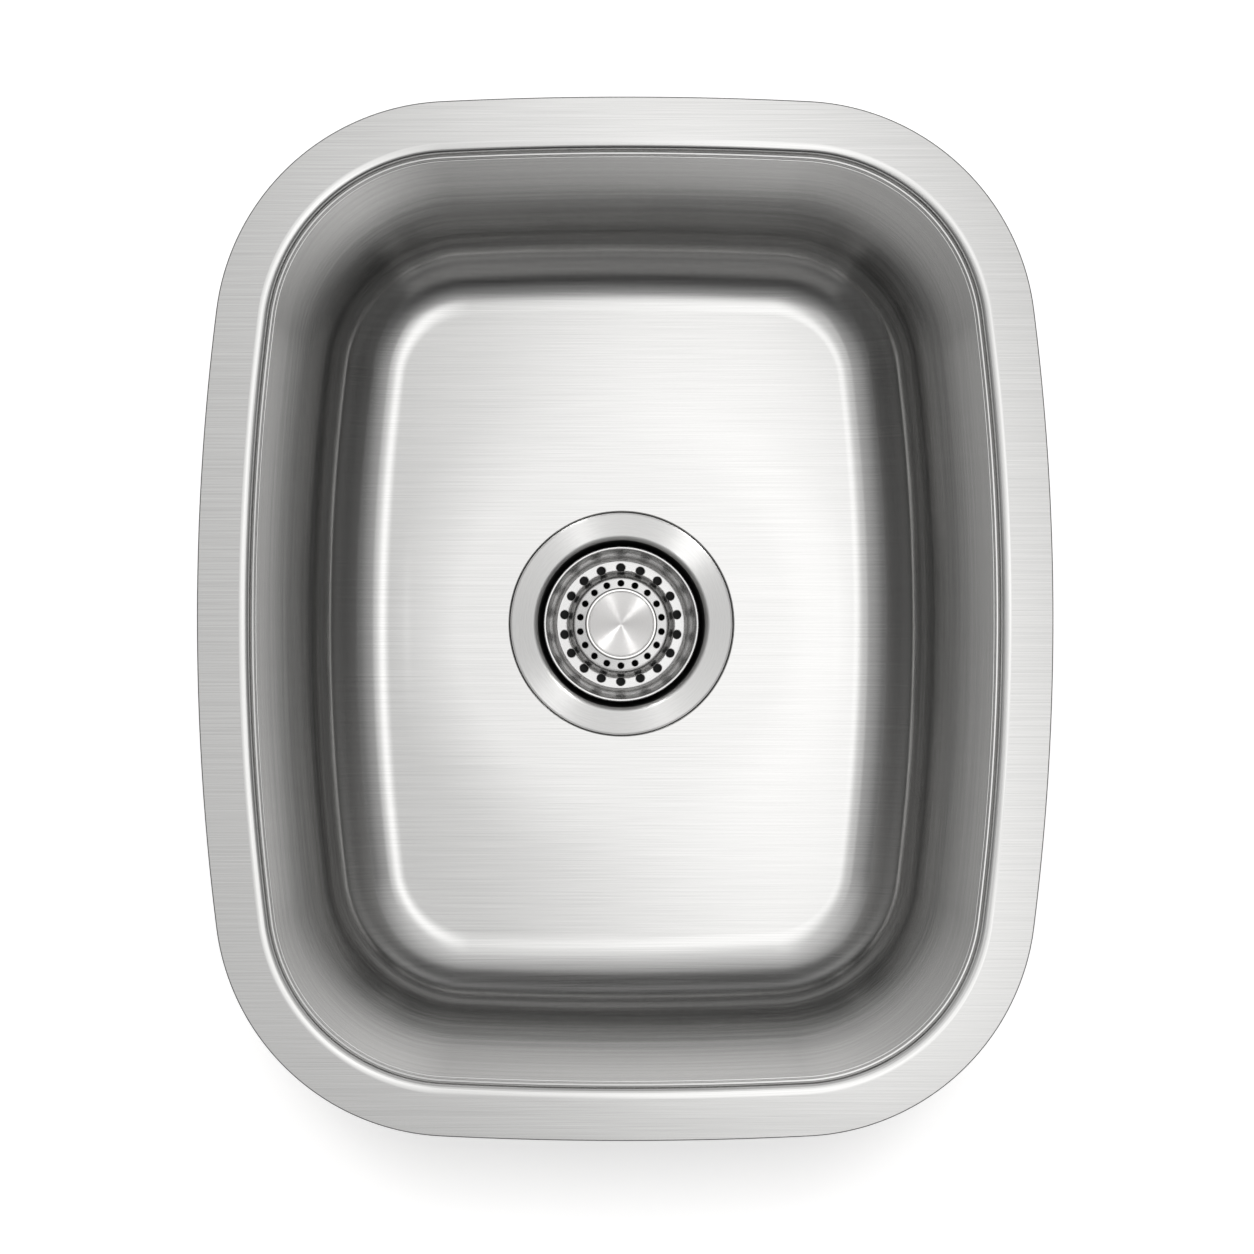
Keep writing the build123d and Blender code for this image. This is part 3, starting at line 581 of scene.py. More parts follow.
def hole_band(line, centre_radius, hole_radius, inner, outer, lower):
    """Points and quads of the band of sheet that holds one ring of holes.

    The first loop of each hole's patch is its edge, which is returned for the wall through the sheet."""
    order = np.argsort(line[:, 0])
    half = math.pi / HOLES
    corners = ((inner, -half), (inner, half), (outer, half), (outer, -half))
    border_polar = []
    for number, (radius, angle) in enumerate(corners):
        next_radius, next_angle = corners[(number + 1) % 4]
        steps = BAND_STEPS if number % 2 else SECTOR_STEPS
        for step in range(steps):
            r = radius + (next_radius - radius) * step / steps
            a = angle + (next_angle - angle) * step / steps
            border_polar.append((r, a))
    count = len(border_polar)
    border = np.array([(r * math.cos(a), r * math.sin(a)) for r, a in border_polar])
    away = border - (centre_radius, 0)
    away /= np.linalg.norm(away, axis=1)[:, None]
    points, faces, edges = [], [], []
    for hole in range(HOLES):
        turn = math.pi / 2 + 2 * math.pi * hole / HOLES
        cos, sin = math.cos(turn), math.sin(turn)
        base = len(points)
        for share in PATCH_SHARES:
            for place, (radius, angle) in zip(away, border_polar):
                edge = place * (hole_radius + HOLE_EDGE) + (centre_radius, 0)
                edge_radius, edge_angle = math.hypot(*edge), math.atan2(edge[1], edge[0])
                r = edge_radius + (radius - edge_radius) * share
                a = edge_angle + (angle - edge_angle) * share
                x, y = r * math.cos(a), r * math.sin(a)
                z = np.interp(r, line[order, 0], line[order, 1])
                points.append((x * cos - y * sin, x * sin + y * cos, z))
        for above in range(base, len(points) - count, count):
            below = above + count
            for column in range(count):
                beside = (column + 1) % count
                quad = (above + column, above + beside, below + beside, below + column)
                faces.append(quad if lower else quad[::-1])
        edges.append(range(base, base + count))
    return points, faces, edges


def basket_shell():
    """Pressed sheet with its two rings of holes, each hole with a wall through the sheet."""
    columns = HOLES * SECTOR_STEPS
    first = math.pi / 2 - math.pi / HOLES
    angles = first + np.arange(columns) / columns * 2 * math.pi
    upper = basket_line()
    lower = offset_line(upper, BASKET_SHEET)
    lower = lower[lower[:, 0] > 4.1 * MM]
    points, faces, edges = [], [], {}

    def lathe(line, flip):
        base = len(points)
        for radius, level in line:
            points.extend((radius * math.cos(a), radius * math.sin(a), level) for a in angles)
        for quad in grid_faces(len(line), columns, False):
            quad = tuple(base + index for index in quad)
            faces.append(quad[::-1] if flip else quad)

    for side, line in (("upper", upper), ("lower", lower)):
        flip = side == "lower"
        breaks = [line[0, 0]]
        for _, _, inner, outer in HOLE_RINGS:
            breaks += [outer, inner]
        breaks.append(line[-1, 0])
        for start, end in zip(breaks[::2], breaks[1::2]):
            lathe(cut_line(line, start, end), flip)
        for number, (middle, hole, inner, outer) in enumerate(HOLE_RINGS):
            band, quads, rims = hole_band(line, middle, hole, inner, outer, flip)
            base = len(points)
            points.extend(band)
            faces.extend(tuple(base + index for index in quad) for quad in quads)
            edges[side, number] = [[base + index for index in rim] for rim in rims]
    # Each hole's wall, with a bevel at both of its ends.
    for number, (middle, hole, _, _) in enumerate(HOLE_RINGS):
        for index, (top, bottom) in enumerate(zip(edges["upper", number], edges["lower", number])):
            turn = math.pi / 2 + 2 * math.pi * index / HOLES
            centre = np.array([middle * math.cos(turn), middle * math.sin(turn)])
            loops = [top]
            for rim, drop in ((top, -HOLE_EDGE), (bottom, HOLE_EDGE)):
                loops.append(range(len(points), len(points) + len(rim)))
                for corner in rim:
                    x, y, z = points[corner]
                    inwards = (np.array([x, y]) - centre) * hole / (hole + HOLE_EDGE)
                    points.append((*(centre + inwards), z + drop))
            loops.append(bottom)
            for above, below in zip(loops, loops[1:]):
                for column in range(len(above)):
                    beside = (column + 1) % len(above)
                    faces.append((above[column], above[beside], below[beside], below[column]))
    # The rim's cut edge and the wall of the hole for the post.
    lathe(np.array([lower[0], upper[0]]), False)
    lathe(np.array([upper[-1], lower[-1]]), False)
    shell = new_object("basket_dressed", points, faces)
    weld(shell)
    fine = basket_line(1.5)
    smooth_by_profile(shell, (fine, offset_line(fine, BASKET_SHEET)))
    mark_turning(shell)
    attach(shell, "basket")
    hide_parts("basket_shell")
    return shell


ON_PROFILE = 0.05 * MM  # how near a point lies to the line that it was turned from
LIKENESS = 0.9  # cosine between a face's normal and its profile's
SHARP_EDGE = math.radians(50)


def smooth_by_profile(piece, lines, batch=500):
    """Gives the piece the normals of the lines that it was turned from, where a face lies along one."""
    mesh = piece.data
    samples, directions = [], []
    for line in lines:
        normals = line_normals(line)
        for start in range(len(line) - 1):
            for share in np.arange(3) / 3:
                samples.append(line[start] * (1 - share) + line[start + 1] * share)
                directions.append(normals[start] * (1 - share) + normals[start + 1] * share)
    samples, directions = np.array(samples), np.array(directions)
    directions /= np.linalg.norm(directions, axis=1)[:, None]
    points = np.array([tuple(v.co) for v in mesh.vertices])
    radius = np.hypot(points[:, 0], points[:, 1])
    nearest = np.empty(len(points), int)
    gaps = np.empty(len(points))
    for start in range(0, len(points), batch):
        part = slice(start, start + batch)
        away = np.hypot(radius[part, None] - samples[:, 0], points[part, 2, None] - samples[:, 1])
        nearest[part] = away.argmin(axis=1)
        gaps[part] = away.min(axis=1)
    profile = directions[nearest]
    around = points[:, :2] / radius[:, None]
    smooth = np.column_stack([around * profile[:, :1], profile[:, 1]])
    corners = []
    for polygon in mesh.polygons:
        face = np.array(polygon.normal)
        for index in polygon.vertices:
            likeness = face @ smooth[index]
            along = gaps[index] < ON_PROFILE and abs(likeness) > LIKENESS
            corners.append(tuple(smooth[index] * np.sign(likeness)) if along else (0, 0, 0))
    mesh.normals_split_custom_set(corners)


def weld(piece, distance=1e-6):
    """Joins points that lie on each other, and turns all faces outwards."""
    body = bmesh.new()
    body.from_mesh(piece.data)
    bmesh.ops.remove_doubles(body, verts=body.verts, dist=distance)
    bmesh.ops.recalc_face_normals(body, faces=body.faces)
    for edge in body.edges:
        if len(edge.link_faces) == 2 and edge.calc_face_angle(0) > SHARP_EDGE:
            edge.smooth = False
    body.to_mesh(piece.data)
    body.free()


def knob_skirt():
    """Polished body of the knob, with the pocket for its cap above and the bore for the post below."""
    head, neck = SKIRT_HIGH.x, 7.0 * MM
    top, foot = SKIRT_HIGH.z, SKIRT_LOW.z
    pocket, pocket_floor = 16.8 * MM, CAP_LOW.z
    bore, bore_end = 4.1 * MM, pocket_floor - 8 * MM
    pinhole = 0.2 * MM  # keeps the turned line off the axis
    line = rounded([
        (bore, bore_end, 0),
        (bore, foot, 0.1 * MM),
        (neck, foot, 0.1 * MM),
        (neck, top - 5.4 * MM, 4.0 * MM),
        (head, top - 3.8 * MM, 1.2 * MM),
        (head, top, 1.0 * MM),
        (pocket, top, 0.35 * MM),
        (pocket, pocket_floor, 0.1 * MM),
        (pinhole, pocket_floor, 0.1 * MM),
        (pinhole, bore_end, 0.1 * MM),
        (bore, bore_end, 0),
    ], 5)
    piece = turned("knob_skirt_dressed", line[::-1], "basket")
    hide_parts("knob_skirt")
    return piece


def knob_cap():
    """Brushed disc with an eased edge."""
    radius = CAP_HIGH.x
    pinhole = 0.05 * MM
    line = rounded([
        (pinhole, CAP_HIGH.z, 0),
        (radius, CAP_HIGH.z, 0.35 * MM),
        (radius, CAP_LOW.z, 0.1 * MM),
        (pinhole, CAP_LOW.z, 0),
        (pinhole, CAP_HIGH.z, 0),
    ], 10)
    piece = turned("knob_cap_dressed", line, "basket")
    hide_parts("knob_cap")
    return piece


# ---- Pads and rubber ----

PAD_THICKNESS = 3.0 * MM
PAD_CORNER = 10.0 * MM
PAD_EDGE = 1.1 * MM
WALL_PAD_LEVEL = -92 * MM  # middle of the pads on the walls
FLOOR_PAD_OFFSET = 108 * MM  # middle of those below the floor, from the drain's axis
SIDE_STEPS = 16  # points along a pad's long and short sides, round a corner and over its edge
END_STEPS = 6
TURN_STEPS = 8
EASE_STEPS = 6
FACE_STEPS = 8  # loops between a pad's rim and its middle


def wall_point(across, level, proud, end):
    """Point on the outside of a side wall, or of an end wall, that stands proud of the steel by a
    distance. The wall is the one on the positive side."""
    inset = WALL_INSET - level * math.tan(WALL_DRAFT) - (SHEET + proud) / math.cos(WALL_DRAFT)
    if end:
        bow = END_BOW - inset
        return across, HALF_LENGTH - END_BOW + math.sqrt(bow ** 2 - across ** 2), level
    bow = SIDE_BOW - inset
    return HALF_WIDTH - SIDE_BOW + math.sqrt(bow ** 2 - across ** 2), across, level


def pad(name, node, length, height, place):
    """Rubber pad with round corners and a soft edge. place(across, up, proud) puts it on the bowl.

    Its loops run from the middle line of its back over the edge to the middle line of its face."""
    reach = min(length, height) / 2
    rims = [(reach * step / FACE_STEPS, 0) for step in range(FACE_STEPS, -1, -1)]
    rims.append((0, PAD_THICKNESS - PAD_EDGE))
    for step in range(1, EASE_STEPS + 1):
        angle = math.pi / 2 * step / EASE_STEPS
        rise = PAD_THICKNESS - PAD_EDGE + PAD_EDGE * math.sin(angle)
        rims.append((PAD_EDGE * (1 - math.cos(angle)), rise))
    for step in range(1, FACE_STEPS + 1):
        rims.append((PAD_EDGE + (reach - PAD_EDGE) * step / FACE_STEPS, PAD_THICKNESS))
    loops = []
    for inset, proud in rims:
        half_length, half_height = length / 2 - inset, height / 2 - inset
        corner = min(max(PAD_CORNER - inset, 0.02 * reach), half_height)
        loop = []
        for turn in range(4):
            side_x = 1 if turn in (0, 3) else -1
            side_y = 1 if turn in (0, 1) else -1
            middle_x, middle_y = side_x * (half_length - corner), side_y * (half_height - corner)
            for step in range(TURN_STEPS + 1):
                angle = math.pi / 2 * (turn + step / TURN_STEPS)
                x, y = corner * math.cos(angle), corner * math.sin(angle)
                loop.append((middle_x + x, middle_y + y, proud))
            # The straight side that follows, which bends with the bowl.
            along, up, _ = loop[-1]
            count = SIDE_STEPS if turn in (0, 2) else END_STEPS
            side_run = -2 * middle_x if turn in (0, 2) else 0
            end_run = -2 * middle_y if turn in (1, 3) else 0
            for step in range(1, count):
                loop.append((along + side_run * step / count, up + end_run * step / count, proud))
        loops.append(loop)
    size = len(loops[0])
    points = [place(*point) for loop in loops for point in loop]
    faces = grid_faces(len(loops), size, False)
    piece = new_object(name, points, faces)
    weld(piece)
    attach(piece, "sink")
    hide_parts(node)
    return piece


def sound_pads():
    """Pads on all four walls, and two below the floor."""
    def side(sign, end):
        def place(across, up, proud):
            x, y, z = wall_point(across, WALL_PAD_LEVEL + up, proud, end)
            return (x, y * sign, z) if end else (x * sign, y, z)
        return place

    def under(sign):
        def place(across, up, proud):
            y = sign * (FLOOR_PAD_OFFSET + up)
            return across, y, float(floor_level(math.hypot(across, y))) - SHEET - proud
        return place

    spots = (
        ("right", 210, 78, side(1, False)),
        ("left", 210, 78, side(-1, False)),
        ("front", 150, 78, side(-1, True)),
        ("rear", 150, 78, side(1, True)),
        ("floor_front", 150, 62, under(-1)),
        ("floor_rear", 150, 62, under(1)),
    )
    pads = []
    for spot, length, height, place in spots:
        pads.append(pad("pad_" + spot + "_moulded", "sound_pad_" + spot, length * MM, height * MM, place))
    return pads


def soft_ring(name, node, low, high, inner, corner):
    """Ring with soft corners about the drain's axis, as high and wide as its node's box."""
    outer = high.x
    middle = (low.z + high.z) / 2
    line = rounded([
        (outer, middle, 0),
        (outer, low.z, corner),
        (inner, low.z, corner),
        (inner, high.z, corner),
        (outer, high.z, corner),
        (outer, middle, 0),
    ], 15)
    piece = turned(name, line[::-1], "sink")
    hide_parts(node)
    return piece


def stopper_seal():
    """Rubber stopper: a dished disc with a thin lip that seals on the cup's floor."""
    radius = STOPPER_HIGH.x
    foot, top = STOPPER_LOW.z, STOPPER_HIGH.z
    bore, crown = 4.3 * MM, 15.0 * MM
    crown_under = top - 3.4 * MM
    line = rounded([
        (bore, top - 2.0 * MM, 0),
        (bore, top, 0.5 * MM),
        (crown, top, 3.0 * MM),
        (21.5 * MM, top - 3.6 * MM, 4.0 * MM),
        (radius - 0.6 * MM, foot + 1.9 * MM, 1.2 * MM),
        (radius, foot, 0.5 * MM),
        (radius - 2.2 * MM, foot, 0.4 * MM),
        (21.0 * MM, top - 6.0 * MM, 3.0 * MM),
        (crown, crown_under, 2.0 * MM),
        (bore, crown_under, 0.3 * MM),
        (bore, top - 2.0 * MM, 0),
    ], 8)
    piece = turned("stopper_moulded", line, "stopper")
    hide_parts("stopper_seal")
    return piece


# ---- Materials ----

class Nodes:
    """Short way to build a node tree round its shader."""

    def __init__(self, tree, shader):
        self.tree = tree
        self.shader = tree.nodes[shader]

    def add(self, kind, inputs=None, **settings):
        node = self.tree.nodes.new(kind)
        for key, value in settings.items():
            setattr(node, key, value)
        for key, value in (inputs or {}).items():
            if isinstance(value, bpy.types.NodeSocket):
                self.tree.links.new(value, node.inputs[key])
            else:
                node.inputs[key].default_value = value
        return node

    def math(self, operation, *values):
        inputs = dict(enumerate(values))
        return self.add("ShaderNodeMath", inputs, operation=operation).outputs[0]

    def scaled(self, vector, factors):
        node = self.add("ShaderNodeVectorMath", {0: vector, 1: factors}, operation="MULTIPLY")
        return node.outputs[0]

    def noise(self, vector, detail=2.0, roughness=0.5):
        node = self.add("ShaderNodeTexNoise", {
            "Vector": vector, "Scale": 1.0, "Detail": detail, "Roughness": roughness,
        })
        return node.outputs["Fac"]

    def attribute(self, name, output="Vector"):
        return self.add("ShaderNodeAttribute", attribute_name=name).outputs[output]

    def ranged(self, value, low, high, to_low, to_high, kind="LINEAR"):
        node = self.add("ShaderNodeMapRange", {
            "Value": value, "From Min": low, "From Max": high, "To Min": to_low, "To Max": to_high,
        }, interpolation_type=kind)
        return node.outputs[0]

    def eased(self, value, low, high, to_low, to_high):
        return self.ranged(value, low, high, to_low, to_high, "SMOOTHSTEP")

    def mixed(self, share, first, second):
        node = self.add("ShaderNodeMix", {0: share, 2: first, 3: second}, data_type="FLOAT")
        return node.outputs[0]

    def tinted(self, share, first, second):
        node = self.add("ShaderNodeMix", {0: share, 6: first, 7: second}, data_type="RGBA")
        return node.outputs[2]

    def set(self, **values):
        for key, value in values.items():
            socket = self.shader.inputs[key.replace("_", " ")]
            if isinstance(value, bpy.types.NodeSocket):
                self.tree.links.new(value, socket)
            else:
                socket.default_value = value


class Finish(Nodes):
    """Nodes of a new material."""

    def __init__(self, name):
        self.material = bpy.data.materials.new(name + "_finish")
        self.material.use_nodes = True
        super().__init__(self.material.node_tree, "Principled BSDF")


FINE_SHARE = 0.65  # of the fine marks in the whole; the rest are broad ones
BROAD_PITCH = 4  # pitch and length of the broad marks, in those of the fine ones
BROAD_LENGTH = 3
LANE_LENGTH = 0.24  # length of the bowl's outline over a full turn of its lane coordinates, in radians
STRAIGHT_SPREAD = 0.17  # how far the noise of straight and curved marks strays from its middle
CURVED_SPREAD = 0.09
NOISE_SPAN = (0.3, 0.7)  # where most values of a noise lie
SPECKLE_SPAN = (0.35, 0.65)
MARK_DEPTH = 0.02 * MM
GRAIN_DEPTH = 0.1 * MM


def shades(colour, contrast):
    """The colour a little darker and a little lighter, by a share."""
    low = [c * (1 - contrast) for c in colour] + [1]
    high = [min(1, c * (1 + contrast)) for c in colour] + [1]
    return low, high


def brushed_steel(name, colour, roughness, anisotropy, fine, length, contrast=0.06, bump=0.0, curved=1.0):
    """Steel with fine marks along the brush direction: fine is their pitch and length their length.
    Marks that follow a curve are larger by a factor."""
    n = Finish(name)
    place = n.add("ShaderNodeTexCoord").outputs["Object"]
    lane = n.attribute("lane")
    round_share = n.attribute("round", "Fac")

    def marks(pitch, run, detail):
        straight = n.noise(n.scaled(place, (1 / run, 1 / pitch, 0)), detail)
        reach = LANE_LENGTH / (run * curved ** 0.5)
        bent = n.noise(n.scaled(lane, (reach, reach, 1 / (pitch * curved))), detail)
        return n.mixed(round_share, straight, bent)

    fine_marks = n.math("MULTIPLY", marks(fine, length, 2.0), FINE_SHARE)
    broad_marks = marks(fine * BROAD_PITCH, length * BROAD_LENGTH, 3.0)
    both = n.math("ADD", fine_marks, n.math("MULTIPLY", broad_marks, 1 - FINE_SHARE))
    spread = n.math("MULTIPLY", n.mixed(round_share, STRAIGHT_SPREAD, CURVED_SPREAD), 2)
    share = n.math("ADD", n.math("DIVIDE", n.math("SUBTRACT", both, 0.5), spread), 0.5)
    n.set(Base_Color=n.tinted(share, *shades(colour, contrast)))
    n.set(Roughness=n.ranged(both, *NOISE_SPAN, roughness * 0.88, roughness * 1.12))
    n.set(Metallic=1.0, Anisotropic=anisotropy, Anisotropic_Rotation=0.25)
    twice = n.add("ShaderNodeSeparateXYZ", {0: n.attribute("brush")})
    angle = n.math("MULTIPLY", n.math("ARCTAN2", twice.outputs[1], twice.outputs[0]), 0.5)
    brush = n.add("ShaderNodeCombineXYZ", {0: n.math("COSINE", angle), 1: n.math("SINE", angle)})
    turned_out = n.add("ShaderNodeVectorTransform", {0: brush.outputs[0]}, vector_type="VECTOR",
                       convert_from="OBJECT", convert_to="WORLD")
    n.set(Tangent=turned_out.outputs[0])
    if bump:
        height = n.add("ShaderNodeBump", {"Height": both, "Strength": bump, "Distance": MARK_DEPTH})
        n.set(Normal=height.outputs[0])
    return n.material


def plain(name, colour, roughness, metallic=0.0, grain=0.0, grain_size=1 * MM):
    """Plastic, rubber or dull metal with a fine grain in its colour and surface."""
    n = Finish(name)
    place = n.add("ShaderNodeTexCoord").outputs["Object"]
    speckle = n.noise(n.scaled(place, (1 / grain_size,) * 3), 4.0, 0.6)
    n.set(Base_Color=n.tinted(n.ranged(speckle, *SPECKLE_SPAN, 0, 1), *shades(colour, grain)))
    n.set(Roughness=n.ranged(speckle, *NOISE_SPAN, roughness * 0.9, roughness * 1.1), Metallic=metallic)
    height = n.add("ShaderNodeBump", {"Height": speckle, "Strength": grain, "Distance": GRAIN_DEPTH})
    n.set(Normal=height.outputs[0])
    return n.material


STEEL = (0.575, 0.572, 0.565)
BRIGHT_STEEL = (0.72, 0.71, 0.70)
CARRIED_LOOKS = (
    # Nodes that keep their shapes: slot, material, colour, roughness, metallic, grain and its size
    ("ring_card", "ring_card", (0.45, 0.33, 0.2), 0.85, 0, 0.2, 0.5 * MM),
    ("nut_metal", "nut_metal", (0.5, 0.49, 0.46), 0.38, 1.0, 0.1, 0.8 * MM),
    ("crossbar_metal", "crossbar_metal", (0.6, 0.59, 0.58), 0.3, 1.0, 0.05, 0.8 * MM),
    ("white_washer", "white_washer", (0.75, 0.75, 0.71), 0.5, 0, 0.05),
    ("plated_brass", "plated_brass", (0.62, 0.62, 0.61), 0.12, 1.0, 0.01),
    ("basket_steel", "washer_steel", (0.6, 0.6, 0.59), 0.25, 1.0, 0.04),
    ("polished_steel", "post_steel", (0.65, 0.65, 0.64), 0.15, 1.0, 0.03),
    ("nylon", "nylon", (0.78, 0.76, 0.68), 0.35, 0, 0.03),
)


def coat(piece, *materials):
    """Gives the piece its materials, in the order of its faces' numbers."""
    for material in materials:
        piece.data.materials.append(material)


def dress():
    """Builds every visible piece and gives each its material."""
    bowl_steel = brushed_steel("bowl_steel", STEEL, 0.20, 0.65, 0.25 * MM, 50 * MM, 0.10, 0.1, 9)
    mill_steel = plain("mill_steel", (0.5, 0.5, 0.5), 0.42, 1.0, 0.08, 1.5 * MM)
    strainer_steel = brushed_steel("strainer_steel", STEEL, 0.32, 0.9, 0.3 * MM, 30 * MM, 0.05)
    basket_steel = brushed_steel("basket_steel", (0.66, 0.655, 0.65), 0.27, 0.3, 0.3 * MM, 20 * MM, 0.04)
    polished = brushed_steel("polished_steel", BRIGHT_STEEL, 0.08, 0.2, 0.3 * MM, 30 * MM, 0.02)
    spun = brushed_steel("cap_steel", BRIGHT_STEEL, 0.36, 0.97, 0.12 * MM, 30 * MM, 0.03)
    # Painted shade: the sheet's rounded cut edge is painted near black, which draws a dark line round the
    # flange.
    cut_edge_painted_shade = plain("cut_edge_painted_shade", (0.14, 0.14, 0.14), 0.5, 1.0, 0.1, 0.5 * MM)
    # Painted shade: the cup's inside is the same steel, painted near black so that it stays dark through
    # the basket's holes.
    cup_painted_shade = plain("cup_painted_shade", (0.11, 0.11, 0.11), 0.55, 1.0, 0.1, 1 * MM)
    coat(sink_bowl(), bowl_steel, mill_steel, cut_edge_painted_shade)
    coat(strainer_body(), strainer_steel, cup_painted_shade)
    coat(basket_shell(), basket_steel)
    coat(knob_skirt(), polished)
    coat(knob_cap(), spun)

    rubber = plain("black_rubber", (0.02, 0.02, 0.021), 0.55, 0, 0.2)
    putty = plain("putty", (0.42, 0.39, 0.33), 0.8, 0, 0.15)
    pad_rubber = plain("damping_pad", (0.03, 0.03, 0.033), 0.7, 0, 0.3, 2 * MM)
    for piece in sound_pads():
        coat(piece, pad_rubber)
    coat(stopper_seal(), rubber)
    coat(soft_ring("gasket_moulded", "sealing_gasket", GASKET_LOW, GASKET_HIGH,
                   43.95 * MM, 0.7 * MM), rubber)
    coat(soft_ring("putty_squeezed", "flange_seal", PUTTY_LOW, PUTTY_HIGH,
                   45.15 * MM, 0.3 * MM), putty)
    looks = {slot: plain(*look) for slot, *look in CARRIED_LOOKS}
    for entry in frame["record"]["subparts"]:
        material = looks.get(entry["material_slot"])
        node = frame["nodes"][entry["node"]]
        if material is None or node.hide_render:
            continue
        mesh = node.data
        if not mesh.materials:
            mesh.materials.append(material)
        for index in range(len(mesh.materials)):
            mesh.materials[index] = material


# ---- Stage, light and camera ----

def floor():
    """Large pale floor just below the foot of the tailpiece, which shows white and keeps the shadow."""
    half = FLOOR_HALF
    level = cad_bounds[0].z - 0.2 * MM
    corners = [(-half, -half, level), (half, -half, level), (half, half, level), (-half, half, level)]
    plane = new_object("floor", corners, [(0, 1, 2, 3)])
    n = Finish("floor_white")
    n.set(Base_Color=(0.86, 0.855, 0.85, 1), Roughness=0.9, Specular_IOR_Level=0.0)
    n.set(Emission_Color=(1, 1, 1, 1))
    path = n.add("ShaderNodeLightPath")
    seen = n.math("ADD", path.outputs["Is Camera Ray"], path.outputs["Is Glossy Ray"])
    seen = n.math("ADD", seen, path.outputs["Is Transmission Ray"])
    seen = n.math("MINIMUM", seen, 1.0)
    n.set(Emission_Strength=n.math("MULTIPLY", seen, FLOOR_GLOW))
    plane.data.materials.append(n.material)


def world_light():
    """Studio room: pale walls low down all round, dim above them, less so to the rear and the sides."""
    world = bpy.data.worlds.new("studio")
    bpy.context.scene.world = world
    world.use_nodes = True
    n = Nodes(world.node_tree, "Background")
    way = n.add("ShaderNodeSeparateXYZ", {0: n.add("ShaderNodeTexCoord").outputs["Generated"]}).outputs
    rear = n.math("MULTIPLY", n.math("MAXIMUM", way["Y"], 0.0), REAR_LIGHT)
    across = n.math("MULTIPLY", n.math("MULTIPLY", way["X"], way["X"]), SIDE_LIGHT)
    sides = n.math("MULTIPLY", n.math("ADD", rear, across), way["Z"])
    above = n.math("DIVIDE", n.math("SUBTRACT", way["Z"], CEILING_START), 1 - CEILING_START)
    ceiling = n.math("MULTIPLY", n.math("MAXIMUM", above, 0.0), CEILING_LIGHT)
    room = n.math("ADD", n.math("ADD", sides, ceiling), ROOM_LIGHT)
    climb = n.eased(way["Z"], HORIZON_TOP, ROOM_START, 0.0, 1.0)
    n.set(Color=(1, 1, 1, 1), Strength=n.mixed(climb, HORIZON_LIGHT, room))


def softbox():
    """Softbox over the sink, with a soft glow a little to its right."""
    (left, right), (near, far) = SOFTBOX_X, SOFTBOX_Y
    corners = [(left, near, 0), (left, far, 0), (right, far, 0), (right, near, 0)]
    sheet = new_object("softbox", corners, [(0, 1, 2, 3)])
    sheet.location = (0, 0, SOFTBOX_HEIGHT)
    sheet.visible_camera = False
    sheet.visible_shadow = False
    n = Finish("softbox_cloth")
    place = n.add("ShaderNodeSeparateXYZ", {0: n.add("ShaderNodeTexCoord").outputs["Object"]})
    middle = n.math("SUBTRACT", GLOW_X, n.math("MULTIPLY", place.outputs[1], GLOW_LEAN))
    across = n.math("DIVIDE", n.math("SUBTRACT", place.outputs[0], middle), GLOW_REACH)
    hump = n.math("EXPONENT", n.math("MULTIPLY", n.math("MULTIPLY", across, across), -0.5))
    start, full, fade, faded = GLOW_Y
    rise = n.eased(place.outputs[1], start, full, 0, 1)
    fall = n.eased(place.outputs[1], fade, faded, 1, GLOW_REAR)
    glow = n.math("MULTIPLY", n.math("MULTIPLY", hump, rise), fall)
    light = n.math("ADD", n.math("MULTIPLY", glow, SOFTBOX_CORE_LIGHT), SOFTBOX_EDGE_LIGHT)
    n.set(Base_Color=(0, 0, 0, 1), Specular_IOR_Level=0.0)
    n.set(Emission_Color=(1, 1, 1, 1), Emission_Strength=light)
    sheet.data.materials.append(n.material)


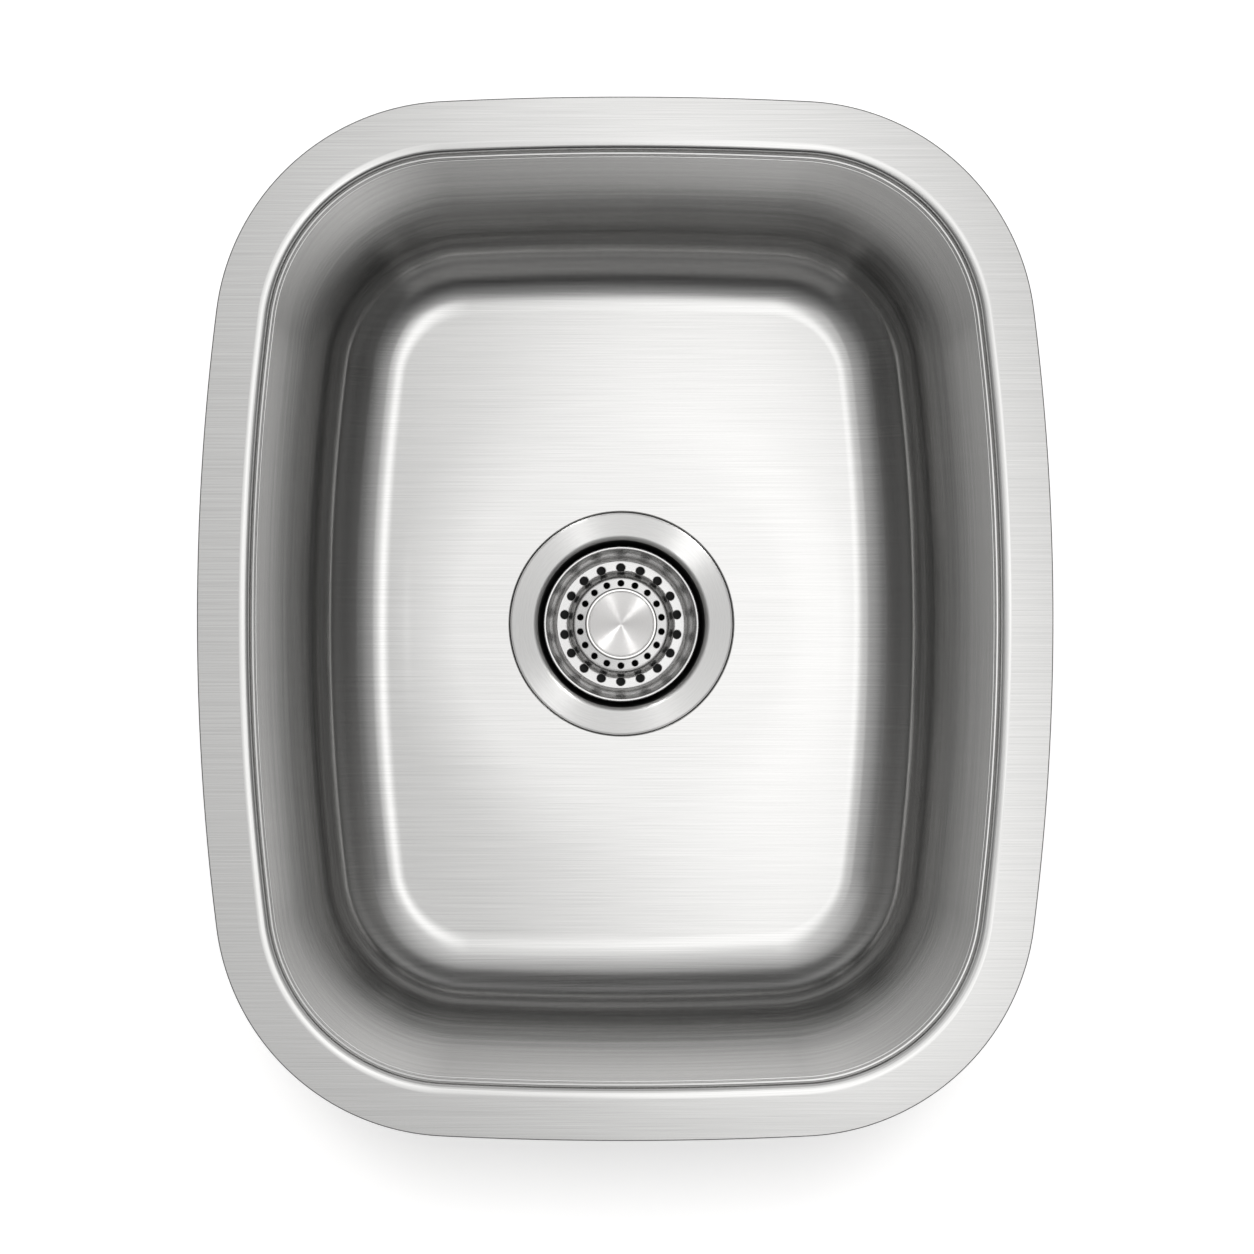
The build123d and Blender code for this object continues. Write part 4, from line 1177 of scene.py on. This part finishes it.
def lamp(name, place, size, radiance, target):
    """Rectangular soft lamp of a given brightness, aimed at a point."""
    light = bpy.data.lights.new(name, "AREA")
    light.shape = "RECTANGLE"
    light.size, light.size_y = size
    light.energy = radiance * size[0] * size[1] * math.pi
    holder = bpy.data.objects.new(name, light)
    bpy.context.scene.collection.objects.link(holder)
    holder.location = place
    holder.rotation_euler = (Vector(target) - holder.location).to_track_quat("-Z", "Y").to_euler()
    holder.visible_camera = False
    return holder


def lamps():
    """Softbox for the metal, strips for its turned faces, and a lamp to the rear for what isn't metal.

    A strip's length points at the drain from above, so that brushed rings catch it as a fan of light on
    both sides. It lights the turned faces alone. Metal doesn't mirror the key lamp."""
    softbox()
    turned_faces = bpy.data.collections.new("turned_faces")
    for name in ("knob_cap_dressed", "strainer_dressed"):
        turned_faces.objects.link(bpy.data.objects[name])
    level = STRIP_REACH * math.sin(STRIP_ELEVATION)
    flat = STRIP_REACH * math.cos(STRIP_ELEVATION)
    for number, (azimuth, width, radiance) in enumerate(STRIPS):
        turn = math.radians(azimuth)
        place = (math.cos(turn) * flat, math.sin(turn) * flat, level)
        strip = lamp("strip_" + str(number + 1), place, (width, STRIP_LENGTH), radiance, STRIP_TARGET)
        strip.light_linking.receiver_collection = turned_faces
    key = lamp("key_lamp", KEY_PLACE, (KEY_SIZE, KEY_SIZE), KEY_LIGHT, (0, 0, 0))
    key.visible_glossy = False


def camera():
    """Camera straight above, shifted so that the point below the lens lies where it does in the photo."""
    eye = bpy.data.cameras.new("camera")
    eye.sensor_width = SENSOR
    eye.lens = SENSOR * CAMERA_HEIGHT / FRAME_WIDTH
    eye.shift_x = (PHOTO / 2 - AXIS_X) / PHOTO
    eye.shift_y = (AXIS_Y - PHOTO / 2) / PHOTO
    eye.clip_start = CLIP_START
    holder = bpy.data.objects.new("camera", eye)
    holder.location = (CAMERA_X, CAMERA_Y, CAMERA_HEIGHT)
    bpy.context.scene.collection.objects.link(holder)
    bpy.context.scene.camera = holder


bpy.context.scene.view_settings.view_transform = "Standard"
dress()
floor()
world_light()
lamps()
camera()
